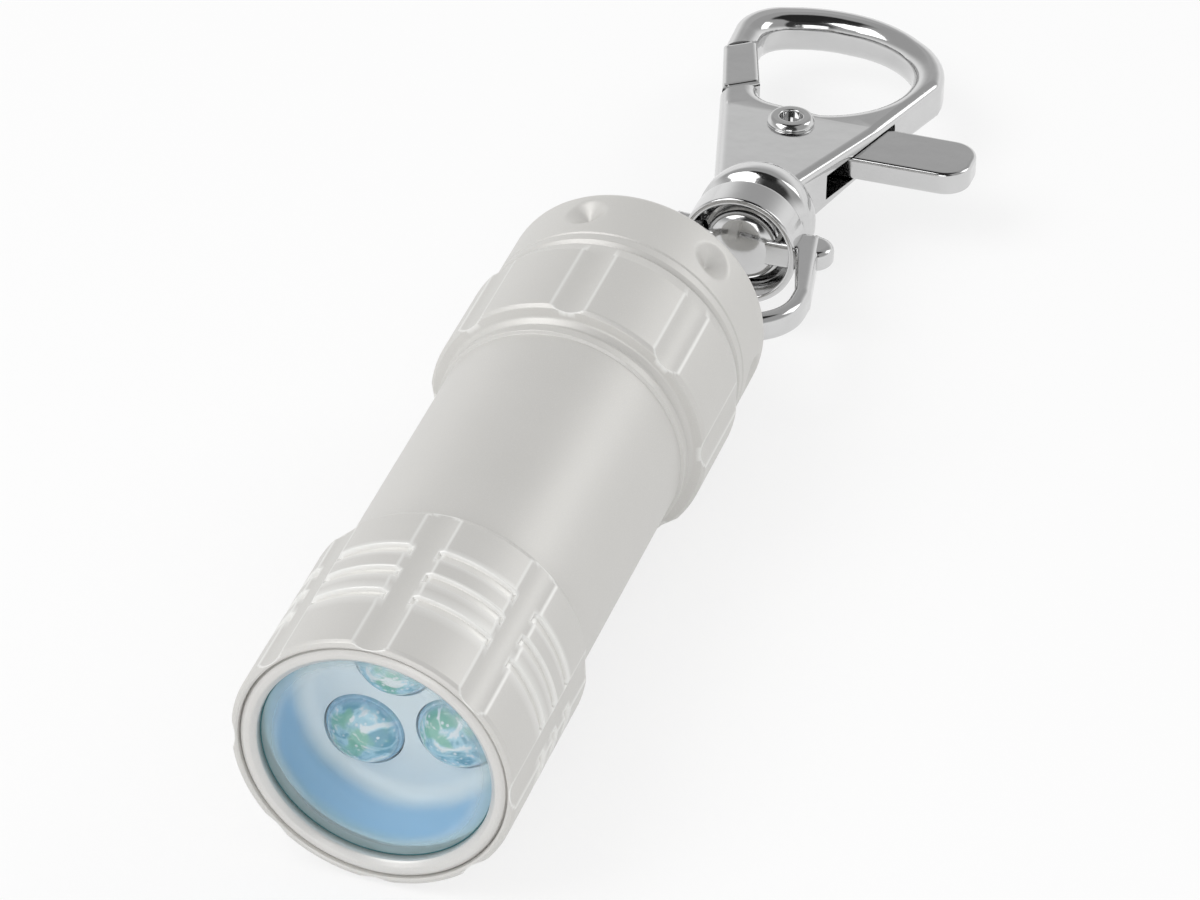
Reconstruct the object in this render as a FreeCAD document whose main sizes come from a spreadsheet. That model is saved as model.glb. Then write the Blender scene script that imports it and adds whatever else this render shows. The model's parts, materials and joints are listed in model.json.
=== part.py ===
import FreeCAD, Part
import os
import re
import Sketcher

# Keychain torch with three lamps and a swivel trigger hook, in millimetres.
# The torch's axis is +Y, its lens looks along -Y, and +Z is up. It lies on one of its flutes.
# While the pieces are built the origin is the middle of the lens opening. At the end everything
# is set down so that the origin is on the table, under the middle of the whole object.

doc = FreeCAD.newDocument("keychain_torch")
sheet = doc.addObject("Spreadsheet::Sheet", "Sizes")

SIZES = {
    # Barrel, turned from one bar: fluted head, plain waist, bead and fluted collar
    "head_radius": 9.75,
    "head_length": 15.2,
    "rim_chamfer": 0.45,
    "rim_inner_radius": 9.15,
    "waist_radius": 8.75,
    "bead_start": 36.8,
    "bead_width": 0.9,
    "bead_height": 0.3,
    "collar_start": 38.5,
    "collar_radius": 10.0,
    "collar_cove": 0.9,
    "collar_front_bevel": 0.4,
    "collar_rear_taper": 1.5,
    "collar_rear_drop": 0.5,
    "barrel_length": 47.0,
    "flute_count": 8,
    "flute_cutter_radius": 2.6,
    "flute_depth": 0.36,
    "slot_first": 5.55,
    "slot_pitch": 2.45,
    "slot_rows": 3,
    "slot_width": 0.9,
    "slot_depth": 0.32,
    "slot_sweep": 34.0,
    # Bores of the barrel
    "lens_seat_depth": 3.0,
    "module_bore_radius": 8.45,
    "module_bore_depth": 14.6,
    "battery_bore_radius": 7.3,
    "neck_bore_radius": 8.05,
    "neck_bore_length": 5.0,
    # Lens, its ring and its seal
    "opening_radius": 8.0,
    "bezel_length": 1.0,
    "bezel_round": 0.25,
    "press_gap": 0.02,
    "lens_thickness": 1.2,
    "seal_inner_radius": 8.55,
    # Reflector cup
    "cup_front_radius": 8.4,
    "cup_lip": 0.25,
    "cup_wall": 0.5,
    "cup_wall_curve": 9.0,
    "cup_floor_front": 6.2,
    "cup_floor_thickness": 0.8,
    "cup_floor_radius": 7.3,
    "cup_floor_round": 1.4,
    # Lamps, their holder and the board
    "lamp_count": 3,
    "lamp_pitch_radius": 3.75,
    "lamp_first_angle": 101.0,
    "lamp_radius": 2.5,
    "lamp_hole_gap": 0.3,
    "lamp_tip": 4.8,
    "lamp_length": 7.7,
    "lamp_flange_radius": 2.9,
    "lamp_flange_length": 1.0,
    "lead_side": 0.5,
    "lead_spacing": 2.54,
    "lead_tail": 0.5,
    "board_front": 15.4,
    "board_thickness": 1.0,
    "board_radius": 7.1,
    "stud_radius": 2.2,
    "stud_height": 0.6,
    # Button cells and their sleeve
    "cell_count": 4,
    "cell_radius": 5.8,
    "cell_height": 5.4,
    "cell_cap_radius": 4.9,
    "cell_cap_height": 0.6,
    "sleeve_inner_radius": 5.95,
    "sleeve_outer_radius": 7.2,
    "sleeve_end_gap": 0.3,
    # Tail cap: neck inside the barrel, head with dimples, slotted lug for the bail
    "cap_radius": 9.5,
    "cap_joint_gap": 0.2,
    "cap_length": 6.3,
    "cap_front_bevel": 0.35,
    "cap_rear_round": 0.5,
    "cap_ring_width": 0.25,
    "cap_ring_depth": 0.12,
    "cap_ring_place": 1.0,
    "neck_clearance": 0.05,
    "neck_length": 4.4,
    "neck_inner_radius": 6.6,
    "neck_hollow_past": 1.4,
    "cap_seal_groove_width": 1.2,
    "cap_seal_groove_depth": 0.75,
    "cap_seal_section": 0.7,
    "dimple_count": 6,
    "dimple_first_angle": -17.6,
    "dimple_place": 3.8,
    "dimple_radius": 1.5,
    "dimple_depth": 0.95,
    "contact_thickness": 0.5,
    "spring_outer_radius": 4.6,
    "spring_wall": 0.6,
    "lug_thickness": 2.4,
    "lug_length": 5.6,
    "lug_width": 10.0,
    "lug_corner": 2.2,
    "lug_slot_start": 1.0,
    "lug_slot_height": 3.2,
    "lug_slot_length": 7.4,
    "lug_slot_round": 1.0,
    # Where the bail's bar lies in the lug, and how the hook lies
    "clip_side": 3.6,
    "clip_low": 2.1,
    "clip_turn": -1.0,
    "clip_tilt": 4.5,
    # Bail: D-shaped loop with the hub of the swivel
    "loop_half_width": 6.9,
    "loop_bar": 1.2,
    "loop_thickness": 2.0,
    "loop_corner": 4.5,
    "loop_wide_at": 5.2,
    "loop_shoulder_half": 5.4,
    "loop_shoulder_height": 2.8,
    "loop_edge_bevel": 0.22,
    "nub_radius": 1.7,
    "nub_side": 5.1,
    "nub_drop": 0.9,
    "hub_radius": 4.3,
    "hub_start": 10.1,
    "hub_length": 3.2,
    "hub_bevel": 0.3,
    "hub_recess_radius": 3.05,
    "hub_recess_depth": 1.9,
    # Swivel pin
    "pin_radius": 1.5,
    "pin_clearance": 0.05,
    "pin_head_radius": 2.75,
    "pin_head_length": 1.75,
    "pin_nose_radius": 1.2,
    "pin_dome_curve": 2.2,
    "pin_rim": 0.9,
    "pin_grip": 3.0,
    # Hook body
    "swivel_gap": 0.35,
    "flange_radius": 4.3,
    "flange_bevel": 0.3,
    "flange_rim": 1.3,
    "flange_dome": 3.0,
    "flange_dome_curve": 4.2,
    "flange_top_radius": 2.0,
    "body_base_left": 3.5,
    "body_base_right": 1.9,
    "body_base_at": 15.6,
    "body_base_half": 2.45,
    "ring_half": 1.55,
    "ring_flat_from": 29.0,
    "ring_right": 7.95,
    "ring_right_at": 36.4,
    "ring_right_curve": 7.5,
    "ring_upper_right": 4.8,
    "ring_upper_right_at": 42.7,
    "ring_top_curve": 10.0,
    "ring_top": 45.25,
    "ring_top_side": 1.0,
    "ring_crown_curve": 12.0,
    "ring_upper_left": 6.2,
    "ring_upper_left_at": 44.55,
    "ring_left_curve": 4.0,
    "ring_left": 9.25,
    "ring_left_at": 40.2,
    "nose_side": 9.05,
    "nose_at": 36.6,
    "ring_bar": 2.45,
    "opening_right": 5.6,
    "opening_right_at": 35.6,
    "opening_right_curve": 7.0,
    "opening_upper_right": 3.9,
    "opening_upper_right_at": 40.6,
    "opening_side_curve": 5.9,
    "opening_top_curve": 7.0,
    "opening_crown_curve": 8.0,
    "opening_upper_left": 5.0,
    "opening_upper_left_at": 42.3,
    "opening_corner": 2.4,
    "opening_left": 6.9,
    "opening_left_at": 38.0,
    "web_edge_at": 29.5,
    "web_left_side": 3.0,
    "web_left_at": 30.0,
    "web_corner": 2.0,
    "web_gate_side": 4.6,
    "web_gate_at": 31.2,
    "web_right_side": 0.7,
    "gate_line_slope": 0.78,
    "joint_side": 6.4,
    "joint_at": 30.7,
    "seam_side": 8.1,
    "seam_at": 37.5,
    "gate_gap": 0.12,
    "slot_half": 1.0,
    "slot_floor_at": 19.6,
    "slot_floor_side": 0.2,
    "slot_mouth_at": 21.1,
    "slot_mouth_side": 2.1,
    "slot_left_side": 3.1,
    "slot_left_at": 24.4,
    "slot_upper_left": 5.6,
    "slot_upper_left_at": 27.6,
    "slot_end_side": 6.7,
    "slot_end_at": 29.3,
    "slot_top": 33.5,
    "slot_web_side": 1.5,
    "slot_web_at": 30.2,
    "rivet_seat_half": 1.65,
    "rivet_seat_gap": 0.15,
    # Gate lever
    "pivot_side": 0.9,
    "pivot_at": 26.7,
    "lever_half": 0.9,
    "lever_hub_radius": 1.9,
    "gate_outer_joint": 7.25,
    "gate_inner_joint": 4.85,
    "arm_low_at": 24.8,
    "arm_high_at": 28.4,
    "arm_bend_at": 29.2,
    "arm_gate_at": 30.9,
    "arm_tip_side": 5.6,
    "arm_tip_at": 32.2,
    "arm_end_side": 6.5,
    "arm_end_at": 30.2,
    "tab_low": 24.4,
    "tab_high": 29.6,
    "tab_end": 13.0,
    "tab_corner": 2.0,
    "tab_start": 6.4,
    "tab_root_side": 2.0,
    # Hollow rivet of the lever
    "rivet_radius": 1.15,
    "rivet_bore_radius": 0.85,
    "rivet_head_radius": 1.95,
    "rivet_head_height": 0.6,
    "rivet_head_curve": 0.9,
    "rivet_clearance": 0.05,
    # Return spring of the lever
    "gate_spring_radius": 0.8,
    "gate_spring_wall": 0.3,
    "gate_spring_side": 1.0,
    "gate_spring_gap": 0.05,
}
for row, (alias, value) in enumerate(SIZES.items(), start=1):
    sheet.set("A%d" % row, alias)
    sheet.set("B%d" % row, str(value))
    sheet.setAlias("B%d" % row, alias)
doc.recompute()


def val(text):
    """Value of an expression in the sheet's names."""
    result = sheet.evalExpression(str(text))
    return float(getattr(result, "Value", result))


def link(text):
    """The same expression as another object writes it."""
    return re.sub(r"[a-z]+(?:_[a-z]+)+", lambda name: "Sizes." + name.group(0), str(text))


def origin_plane(body, role):
    return [part for part in body.Origin.OriginFeatures if part.Role == role][0]


def new_body(name):
    body = doc.addObject("PartDesign::Body", name)
    body.Label = name
    return body


def new_sketch(body, name, role, offset="0", along="0", turn="0"):
    """Sketch on one of the body's own planes, offset along its normal, moved along and turned about its x."""
    sketch = body.newObject("Sketcher::SketchObject", body.Name + "_" + name)
    sketch.AttachmentSupport = [(origin_plane(body, role), "")]
    sketch.MapMode = "FlatFace"
    sketch.AttachmentOffset = FreeCAD.Placement(
        FreeCAD.Vector(val(along), 0, val(offset)), FreeCAD.Rotation(FreeCAD.Vector(1, 0, 0), val(turn)))
    if offset != "0":
        sketch.setExpression("AttachmentOffset.Base.z", link(offset))
    if along != "0":
        sketch.setExpression("AttachmentOffset.Base.x", link(along))
    return sketch


def bind(sketch, constraint, name, text):
    """Add a constraint whose size is an expression in the sheet's names."""
    index = sketch.addConstraint(constraint)
    sketch.renameConstraint(index, name)
    sketch.setExpression("Constraints." + name, link(text))


def bind_point(sketch, index, end, x, y):
    bind(sketch, Sketcher.Constraint("DistanceX", -1, 1, index, end, val(x)), "x%d" % index, x)
    bind(sketch, Sketcher.Constraint("DistanceY", -1, 1, index, end, val(y)), "y%d" % index, y)


def outline(sketch, points):
    """Closed outline. A point is (x, y), or (x, y, r) where an arc of radius r ends there.
    A positive r turns the arc anticlockwise and a negative one, written with a minus, clockwise."""
    first = sketch.GeometryCount
    places = [FreeCAD.Vector(val(point[0]), val(point[1]), 0) for point in points]
    count = len(points)
    ends = []
    for i in range(count):
        here, there = places[i - 1], places[i]
        if len(points[i]) == 2:
            sketch.addGeometry(Part.LineSegment(here, there))
            ends.append((1, 2))
            continue
        radius = val(points[i][2])
        chord = there - here
        side = FreeCAD.Vector(-chord.y, chord.x, 0).normalize()
        depth = max(radius ** 2 - chord.Length ** 2 / 4, 0) ** 0.5
        centre = (here + there) / 2 + side * (depth if radius > 0 else -depth)
        start, end = (here, there) if radius > 0 else (there, here)
        whole = Part.Circle(centre, FreeCAD.Vector(0, 0, 1), abs(radius))
        sketch.addGeometry(Part.ArcOfCircle(whole, whole.parameter(start), whole.parameter(end)))
        ends.append((1, 2) if radius > 0 else (2, 1))
    for i in range(count):
        after = (i + 1) % count
        sketch.addConstraint(
            Sketcher.Constraint("Coincident", first + i, ends[i][1], first + after, ends[after][0]))
    for i, point in enumerate(points):
        bind_point(sketch, first + i, ends[i][1], point[0], point[1])
        if len(point) == 3:
            size = point[2].lstrip("-")
            bind(sketch, Sketcher.Constraint("Radius", first + i, val(size)), "r%d" % (first + i), size)


def circle(sketch, x, y, radius):
    index = sketch.addGeometry(
        Part.Circle(FreeCAD.Vector(val(x), val(y), 0), FreeCAD.Vector(0, 0, 1), val(radius)))
    bind_point(sketch, index, 3, x, y)
    bind(sketch, Sketcher.Constraint("Radius", index, val(radius)), "r%d" % index, radius)


def rectangle(sketch, left, low, right, high):
    outline(sketch, [(left, low), (right, low), (right, high), (left, high)])


def revolve(body, sketch, axis="H_Axis", cut=False, angle=""):
    """Turn a sketch about one of its axes: a whole turn, or a stretch with the sketch in its middle."""
    before = body.Shape.Volume if cut else 0
    feature = body.newObject("PartDesign::Groove" if cut else "PartDesign::Revolution", sketch.Name + "_turned")
    feature.Profile = sketch
    feature.ReferenceAxis = (sketch, [axis])
    feature.Angle = val(angle) if angle else 360
    if angle:
        feature.setExpression("Angle", link(angle))
        feature.Midplane = True
    doc.recompute()
    if cut and body.Shape.Volume >= before:
        raise RuntimeError(feature.Name + " cuts nothing")
    return feature


def pad(body, sketch, length, both=False, back=False):
    feature = body.newObject("PartDesign::Pad", sketch.Name + "_pad")
    feature.Profile = sketch
    feature.Length = val(length)
    feature.setExpression("Length", link(length))
    feature.Midplane = both
    feature.Reversed = back
    doc.recompute()
    return feature


def pocket(body, sketch, length="", both=False, back=False):
    """Cut along the sketch's normal, through everything when no length is given."""
    before = body.Shape.Volume
    feature = body.newObject("PartDesign::Pocket", sketch.Name + "_pocket")
    feature.Profile = sketch
    feature.Midplane = both
    feature.Reversed = back
    if length:
        feature.Length = val(length)
        feature.setExpression("Length", link(length))
    else:
        feature.Type = "ThroughAll"
    doc.recompute()
    if body.Shape.Volume >= before:
        raise RuntimeError(feature.Name + " cuts nothing")
    return feature


def polar(body, feature, axis_sketch, count):
    pattern = body.newObject("PartDesign::PolarPattern", feature.Name + "_round")
    pattern.Originals = [feature]
    pattern.Axis = (axis_sketch, ["H_Axis"])
    pattern.Angle = 360
    pattern.Occurrences = int(val(count))
    pattern.setExpression("Occurrences", link(count))
    body.Tip = pattern
    doc.recompute()


def dress(body, kind, test, size):
    """Fillet or chamfer of the body's present solid along the edges that pass the test."""
    edges = ["Edge%d" % (i + 1) for i, edge in enumerate(body.Shape.Edges) if test(edge)]
    base = body.Tip
    feature = body.newObject("PartDesign::" + kind, "%s_%s_%d" % (body.Name, kind.lower(), len(body.Group)))
    feature.Base = (base, edges)
    alias = "Radius" if kind == "Fillet" else "Size"
    setattr(feature, alias, val(size))
    feature.setExpression(alias, link(size))
    body.Tip = feature
    doc.recompute()


def turned(name, points):
    """Round piece on the torch's axis. Points are (distance behind the opening, radius)."""
    body = new_body(name)
    sketch = new_sketch(body, "profile", "YZ_Plane")
    outline(sketch, points)
    revolve(body, sketch)
    return body, sketch


# Barrel
barrel, barrel_profile = turned("barrel", [
    ("0", "rim_inner_radius"),
    ("0", "head_radius - rim_chamfer"),
    ("rim_chamfer", "head_radius"),
    ("head_length - (head_radius - waist_radius)", "head_radius"),
    ("head_length", "waist_radius", "-(head_radius - waist_radius)"),
    ("bead_start", "waist_radius"),
    ("bead_start", "waist_radius + bead_height / 2"),
    ("bead_start + bead_width", "waist_radius + bead_height / 2", "-(bead_width * 0.55)"),
    ("bead_start + bead_width", "waist_radius"),
    ("collar_start - collar_front_bevel / 2", "waist_radius + bead_height / 2"),
    ("collar_start", "collar_radius - collar_front_bevel", "collar_cove"),
    ("collar_start + collar_front_bevel / 2", "collar_radius"),
    ("barrel_length - collar_rear_taper", "collar_radius"),
    ("barrel_length", "collar_radius - collar_rear_drop"),
    ("barrel_length", "neck_bore_radius"),
    ("barrel_length - neck_bore_length", "neck_bore_radius"),
    ("barrel_length - neck_bore_length", "battery_bore_radius"),
    ("module_bore_depth", "battery_bore_radius"),
    ("module_bore_depth", "module_bore_radius"),
    ("lens_seat_depth", "module_bore_radius"),
    ("lens_seat_depth", "rim_inner_radius"),
])
for flute_name, radius, start, length, back in (
        ("head_flute", "head_radius", "0", "head_length", False),
        ("collar_flute", "collar_radius", "-barrel_length", "barrel_length - bead_start - bead_width", True)):
    flute_sketch = new_sketch(barrel, flute_name, "XZ_Plane", offset=start)
    circle(flute_sketch, "0", radius + " + flute_cutter_radius - flute_depth", "flute_cutter_radius")
    flute = pocket(barrel, flute_sketch, length, back=back)
    polar(barrel, flute, barrel_profile, "flute_count")
slot_sketch = new_sketch(barrel, "slot", "YZ_Plane", turn="180 / flute_count")
for row in range(int(val("slot_rows"))):
    middle = "slot_first + %d * slot_pitch" % row
    rectangle(slot_sketch, middle + " - slot_width / 2", "head_radius - slot_depth",
              middle + " + slot_width / 2", "head_radius + slot_depth")
slots = revolve(barrel, slot_sketch, cut=True, angle="slot_sweep")
polar(barrel, slots, barrel_profile, "flute_count")

# Lens group at the front: ring pressed into the rim, clear lens, flat seal on the barrel's seat
ring_outer = "rim_inner_radius - press_gap"
turned("bezel_ring", [
    ("bezel_length", "opening_radius"),
    ("bezel_round", "opening_radius"),
    ("0", "opening_radius + bezel_round", "-bezel_round"),
    ("0", ring_outer + " - bezel_round"),
    ("bezel_round", ring_outer, "-bezel_round"),
    ("bezel_length", ring_outer),
])
lens_back = "bezel_length + lens_thickness"
turned("lens", [("bezel_length", "0"), ("bezel_length", ring_outer), (lens_back, ring_outer), (lens_back, "0")])
turned("lens_seal", [(lens_back, "seal_inner_radius"), (lens_back, ring_outer),
                     ("lens_seat_depth", ring_outer), ("lens_seat_depth", "seal_inner_radius")])

# Reflector cup with a hole for each lamp
cup_back = "cup_floor_front + cup_floor_thickness"
reflector, reflector_profile = turned("reflector", [
    (lens_back, "cup_front_radius"),
    ("lens_seat_depth", "cup_front_radius"),
    (cup_back, "cup_floor_radius + cup_wall"),
    (cup_back, "0"),
    ("cup_floor_front", "0"),
    ("cup_floor_front", "cup_floor_radius - cup_floor_round"),
    ("cup_floor_front - cup_floor_round", "cup_floor_radius", "cup_floor_round"),
    (lens_back, "cup_front_radius - cup_lip", "cup_wall_curve"),
])


def lamp_place(number):
    """Where a lamp stands, seen from the front: across and up."""
    angle = "(lamp_first_angle + %d * 360 / lamp_count)" % number
    return "lamp_pitch_radius * cos(%s)" % angle, "lamp_pitch_radius * sin(%s)" % angle


def drill_lamps(body, axis_sketch, radius):
    """One hole for a lamp, repeated round the torch's axis."""
    sketch = new_sketch(body, "lamp_hole", "XZ_Plane")
    across, up = lamp_place(0)
    circle(sketch, across, up, radius)
    hole = pocket(body, sketch, both=True)
    polar(body, hole, axis_sketch, "lamp_count")


drill_lamps(reflector, reflector_profile, "lamp_radius + lamp_hole_gap")

# Lamps: round-nosed, with a flange that rests against the holder
lamp_end = "lamp_tip + lamp_length"
flange_front = lamp_end + " - lamp_flange_length"
for number in range(int(val("lamp_count"))):
    lamp, lamp_profile = turned("led_%d" % (number + 1), [
        (lamp_end, "0"),
        ("lamp_tip", "0"),
        ("lamp_tip + lamp_radius", "lamp_radius", "-lamp_radius"),
        (flange_front, "lamp_radius"),
        (flange_front, "lamp_flange_radius"),
        (lamp_end, "lamp_flange_radius"),
    ])
    across, up = lamp_place(number)
    lamp.Placement = FreeCAD.Placement(FreeCAD.Vector(val(across), 0, val(up)), FreeCAD.Rotation())

# Holder: a disc that carries the lamps and a skirt that reaches the step of the barrel's bore
holder, holder_profile = turned("led_holder", [
    (cup_back, "0"),
    (cup_back, "module_bore_radius - press_gap"),
    ("module_bore_depth", "module_bore_radius - press_gap"),
    ("module_bore_depth", "battery_bore_radius"),
    (flange_front, "battery_bore_radius"),
    (flange_front, "0"),
])
drill_lamps(holder, holder_profile, "lamp_radius + press_gap")

# Board behind the lamps, with the brass stud that the first cell presses on
board_back = "board_front + board_thickness"
stud_back = board_back + " + stud_height"
board, board_profile = turned("circuit_board", [
    ("board_front", "0"), ("board_front", "board_radius"), (board_back, "board_radius"), (board_back, "0")])


def lead_squares(sketch, half):
    """Two square leads for each lamp, one on each side of its middle."""
    for number in range(int(val("lamp_count"))):
        across, up = lamp_place(number)
        for shift in (" - lead_spacing / 2", " + lead_spacing / 2"):
            middle = across + shift
            rectangle(sketch, middle + " - " + half, up + " - " + half, middle + " + " + half, up + " + " + half)


board_holes = new_sketch(board, "lead_holes", "XZ_Plane")
lead_squares(board_holes, "(lead_side / 2 + press_gap)")
pocket(board, board_holes, both=True)
leads = new_body("led_leads")
leads.AllowCompound = True
lead_sketch = new_sketch(leads, "sections", "XZ_Plane", offset="-(" + lamp_end + ")")
lead_squares(lead_sketch, "lead_side / 2")
pad(leads, lead_sketch, board_back + " + lead_tail - (" + lamp_end + ")", back=True)
turned("board_contact", [(board_back, "0"), (board_back, "stud_radius"), (stud_back, "stud_radius"), (stud_back, "0")])

# Button cells in a plastic sleeve
for number in range(int(val("cell_count"))):
    start = stud_back + " + %d * cell_height" % number
    step = start + " + cell_height - cell_cap_height"
    end = start + " + cell_height"
    turned("cell_%d" % (number + 1), [
        (start, "0"), (start, "cell_radius"), (step, "cell_radius"),
        (step, "cell_cap_radius"), (end, "cell_cap_radius"), (end, "0")])
cells_end = stud_back + " + cell_count * cell_height"
sleeve_end = "barrel_length - neck_bore_length - sleeve_end_gap"
turned("battery_sleeve", [
    (board_back, "sleeve_inner_radius"), (board_back, "sleeve_outer_radius"),
    (sleeve_end, "sleeve_outer_radius"), (sleeve_end, "sleeve_inner_radius")])

# Tail cap with its neck, seal groove, fine ring, dimples and slotted lug
cap_front = "barrel_length + cap_joint_gap"
cap_rear = cap_front + " + cap_length"
neck_radius = "neck_bore_radius - neck_clearance"
hollow_end = cap_front + " + neck_hollow_past"
groove_end = cap_front + " - cap_seal_groove_width / 4"
groove_start = groove_end + " - cap_seal_groove_width"
groove_floor = neck_radius + " - cap_seal_groove_depth"
ring_cut = cap_front + " + cap_ring_place"
cap, cap_profile = turned("tail_cap", [
    (cap_front + " - neck_length", "neck_inner_radius"),
    (cap_front + " - neck_length", neck_radius),
    (groove_start, neck_radius),
    (groove_start, groove_floor),
    (groove_end, groove_floor),
    (groove_end, neck_radius),
    (cap_front, neck_radius),
    (cap_front, "cap_radius - cap_front_bevel"),
    (cap_front + " + cap_front_bevel", "cap_radius"),
    (ring_cut, "cap_radius"),
    (ring_cut + " + cap_ring_width / 2", "cap_radius - cap_ring_depth"),
    (ring_cut + " + cap_ring_width", "cap_radius"),
    (cap_rear + " - cap_rear_round", "cap_radius"),
    (cap_rear, "cap_radius - cap_rear_round", "-cap_rear_round"),
    (cap_rear, "0"),
    (hollow_end, "0"),
    (hollow_end, "neck_inner_radius"),
])
dimple_sketch = new_sketch(cap, "dimple", "YZ_Plane", along=cap_front + " + dimple_place", turn="dimple_first_angle")
outline(dimple_sketch, [
    ("0", "cap_radius - dimple_depth"),
    ("dimple_radius * 2", "cap_radius + dimple_depth"),
    ("0", "cap_radius + dimple_depth"),
])
dimple = revolve(cap, dimple_sketch, axis="V_Axis", cut=True)
polar(cap, dimple, cap_profile, "dimple_count")
lug_root = cap_rear + " - cap_rear_round"
lug_end = cap_rear + " + lug_length"
lug_sketch = new_sketch(cap, "lug", "YZ_Plane")
outline(lug_sketch, [
    (lug_root, "-lug_width / 2"),
    (lug_end + " - lug_corner", "-lug_width / 2"),
    (lug_end, "-(lug_width / 2 - lug_corner)", "lug_corner"),
    (lug_end, "lug_width / 2 - lug_corner"),
    (lug_end + " - lug_corner", "lug_width / 2", "lug_corner"),
    (lug_root, "lug_width / 2"),
])
pad(cap, lug_sketch, "lug_thickness", both=True)
slot_low = cap_rear + " + lug_slot_start"
slot_high = slot_low + " + lug_slot_height"
slot_end = "lug_slot_length / 2"
slot_side = "(lug_slot_length / 2 - lug_slot_round)"
lug_slot_sketch = new_sketch(cap, "lug_slot", "YZ_Plane")
outline(lug_slot_sketch, [
    (slot_high + " - lug_slot_round", "-" + slot_end),
    (slot_high, "-" + slot_side, "lug_slot_round"),
    (slot_high, slot_side),
    (slot_high + " - lug_slot_round", slot_end, "lug_slot_round"),
    (slot_low + " + lug_slot_round", slot_end),
    (slot_low, slot_side, "lug_slot_round"),
    (slot_low, "-" + slot_side),
    (slot_low + " + lug_slot_round", "-" + slot_end, "lug_slot_round"),
])
pocket(cap, lug_slot_sketch, both=True)

# Seal in the neck's groove, brass contact and tail spring inside the cap
seal = new_body("cap_seal")
seal_sketch = new_sketch(seal, "section", "YZ_Plane")
circle(seal_sketch, groove_start + " + cap_seal_groove_width / 2", groove_floor + " + cap_seal_section / 2 + press_gap",
       "cap_seal_section / 2")
revolve(seal, seal_sketch)
contact_start = hollow_end + " - contact_thickness"
contact_radius = "neck_inner_radius - press_gap"
turned("tail_contact", [
    (contact_start, "0"), (contact_start, contact_radius), (hollow_end, contact_radius), (hollow_end, "0")])
turned("tail_spring", [
    (cells_end, "spring_outer_radius - spring_wall"), (cells_end, "spring_outer_radius"),
    (contact_start, "spring_outer_radius"), (contact_start, "spring_outer_radius - spring_wall")])

# The hook's pieces are drawn flat: across is +X, away from the torch is +Y, up is +Z, and the
# origin is the middle of the bail's bar. This placement lays them behind the torch at the end.
clip_turn = FreeCAD.Rotation(FreeCAD.Vector(0, 0, 1), -val("clip_turn"))
clip_tilt = FreeCAD.Rotation(FreeCAD.Vector(1, 0, 0), -val("clip_tilt"))
clip_back = val(slot_low + " + lug_slot_height / 2")
CLIP = FreeCAD.Placement(
    FreeCAD.Vector(val("clip_side"), clip_back, -val("clip_low")), clip_turn * clip_tilt)


clip_bodies = []


def clip_body(name):
    body = new_body(name)
    clip_bodies.append(body)
    return body


# Bail: D loop with rounded ends on its shoulders, and the recessed hub of the swivel
hub_end = "hub_start + hub_length"
bail = clip_body("bail")
loop_sketch = new_sketch(bail, "loop", "XY_Plane")
for inset, top in (("0", hub_end), ("loop_bar", hub_end + " - loop_shoulder_height")):
    low = "(%s - loop_bar / 2)" % inset
    straight = "(loop_half_width - loop_corner)"
    wide = "(loop_half_width - %s)" % inset
    shoulder = "(loop_shoulder_half - %s)" % inset
    bend = "(loop_corner - %s)" % inset
    bend_end = "loop_corner - loop_bar / 2"
    outline(loop_sketch, [
        (straight, low),
        (wide, bend_end, bend),
        (wide, "loop_wide_at"),
        (shoulder, top),
        ("-" + shoulder, top),
        ("-" + wide, "loop_wide_at"),
        ("-" + wide, bend_end),
        ("-" + straight, low, bend),
    ])
pad(bail, loop_sketch, "loop_thickness", both=True)
half_loop = val("loop_thickness / 2")
dress(bail, "Chamfer", lambda edge: abs(edge.Vertexes[0].Z - edge.Vertexes[-1].Z) < half_loop, "loop_edge_bevel")
for side in ("", "-"):
    nub_sketch = new_sketch(bail, "nub", "XY_Plane")
    circle(nub_sketch, side + "nub_side", hub_end + " - nub_drop", "nub_radius")
    pad(bail, nub_sketch, "loop_thickness", both=True)
hub_sketch = new_sketch(bail, "hub", "XY_Plane")
outline(hub_sketch, [
    ("0", "hub_start"), ("hub_radius - hub_bevel", "hub_start"), ("hub_radius", "hub_start + hub_bevel"),
    ("hub_radius", hub_end + " - hub_bevel"), ("hub_radius - hub_bevel", hub_end), ("0", hub_end)])
revolve(bail, hub_sketch, axis="V_Axis")
recess_end = "hub_start + hub_recess_depth"
bore_sketch = new_sketch(bail, "hub_bore", "XY_Plane")
outline(bore_sketch, [
    ("0", "hub_start - hub_bevel"), ("hub_recess_radius", "hub_start - hub_bevel"),
    ("hub_recess_radius", recess_end), ("pin_radius + pin_clearance", recess_end),
    ("pin_radius + pin_clearance", hub_end + " + hub_bevel"), ("0", hub_end + " + hub_bevel")])
revolve(bail, bore_sketch, axis="V_Axis", cut=True)

# Swivel pin: mushroom head in the hub's recess, shank held in the hook
flange_start = hub_end + " + swivel_gap"
head_back = recess_end + " - pin_clearance"
head_front = head_back + " - pin_head_length"
pin_end = flange_start + " + pin_grip"
pin = clip_body("swivel_pin")
pin_sketch = new_sketch(pin, "profile", "XY_Plane")
outline(pin_sketch, [
    ("0", head_front), ("pin_nose_radius", head_front),
    ("pin_head_radius", head_front + " + pin_rim", "pin_dome_curve"),
    ("pin_head_radius", head_back), ("pin_radius", head_back), ("pin_radius", pin_end), ("0", pin_end)])
revolve(pin, pin_sketch, axis="V_Axis")

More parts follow.
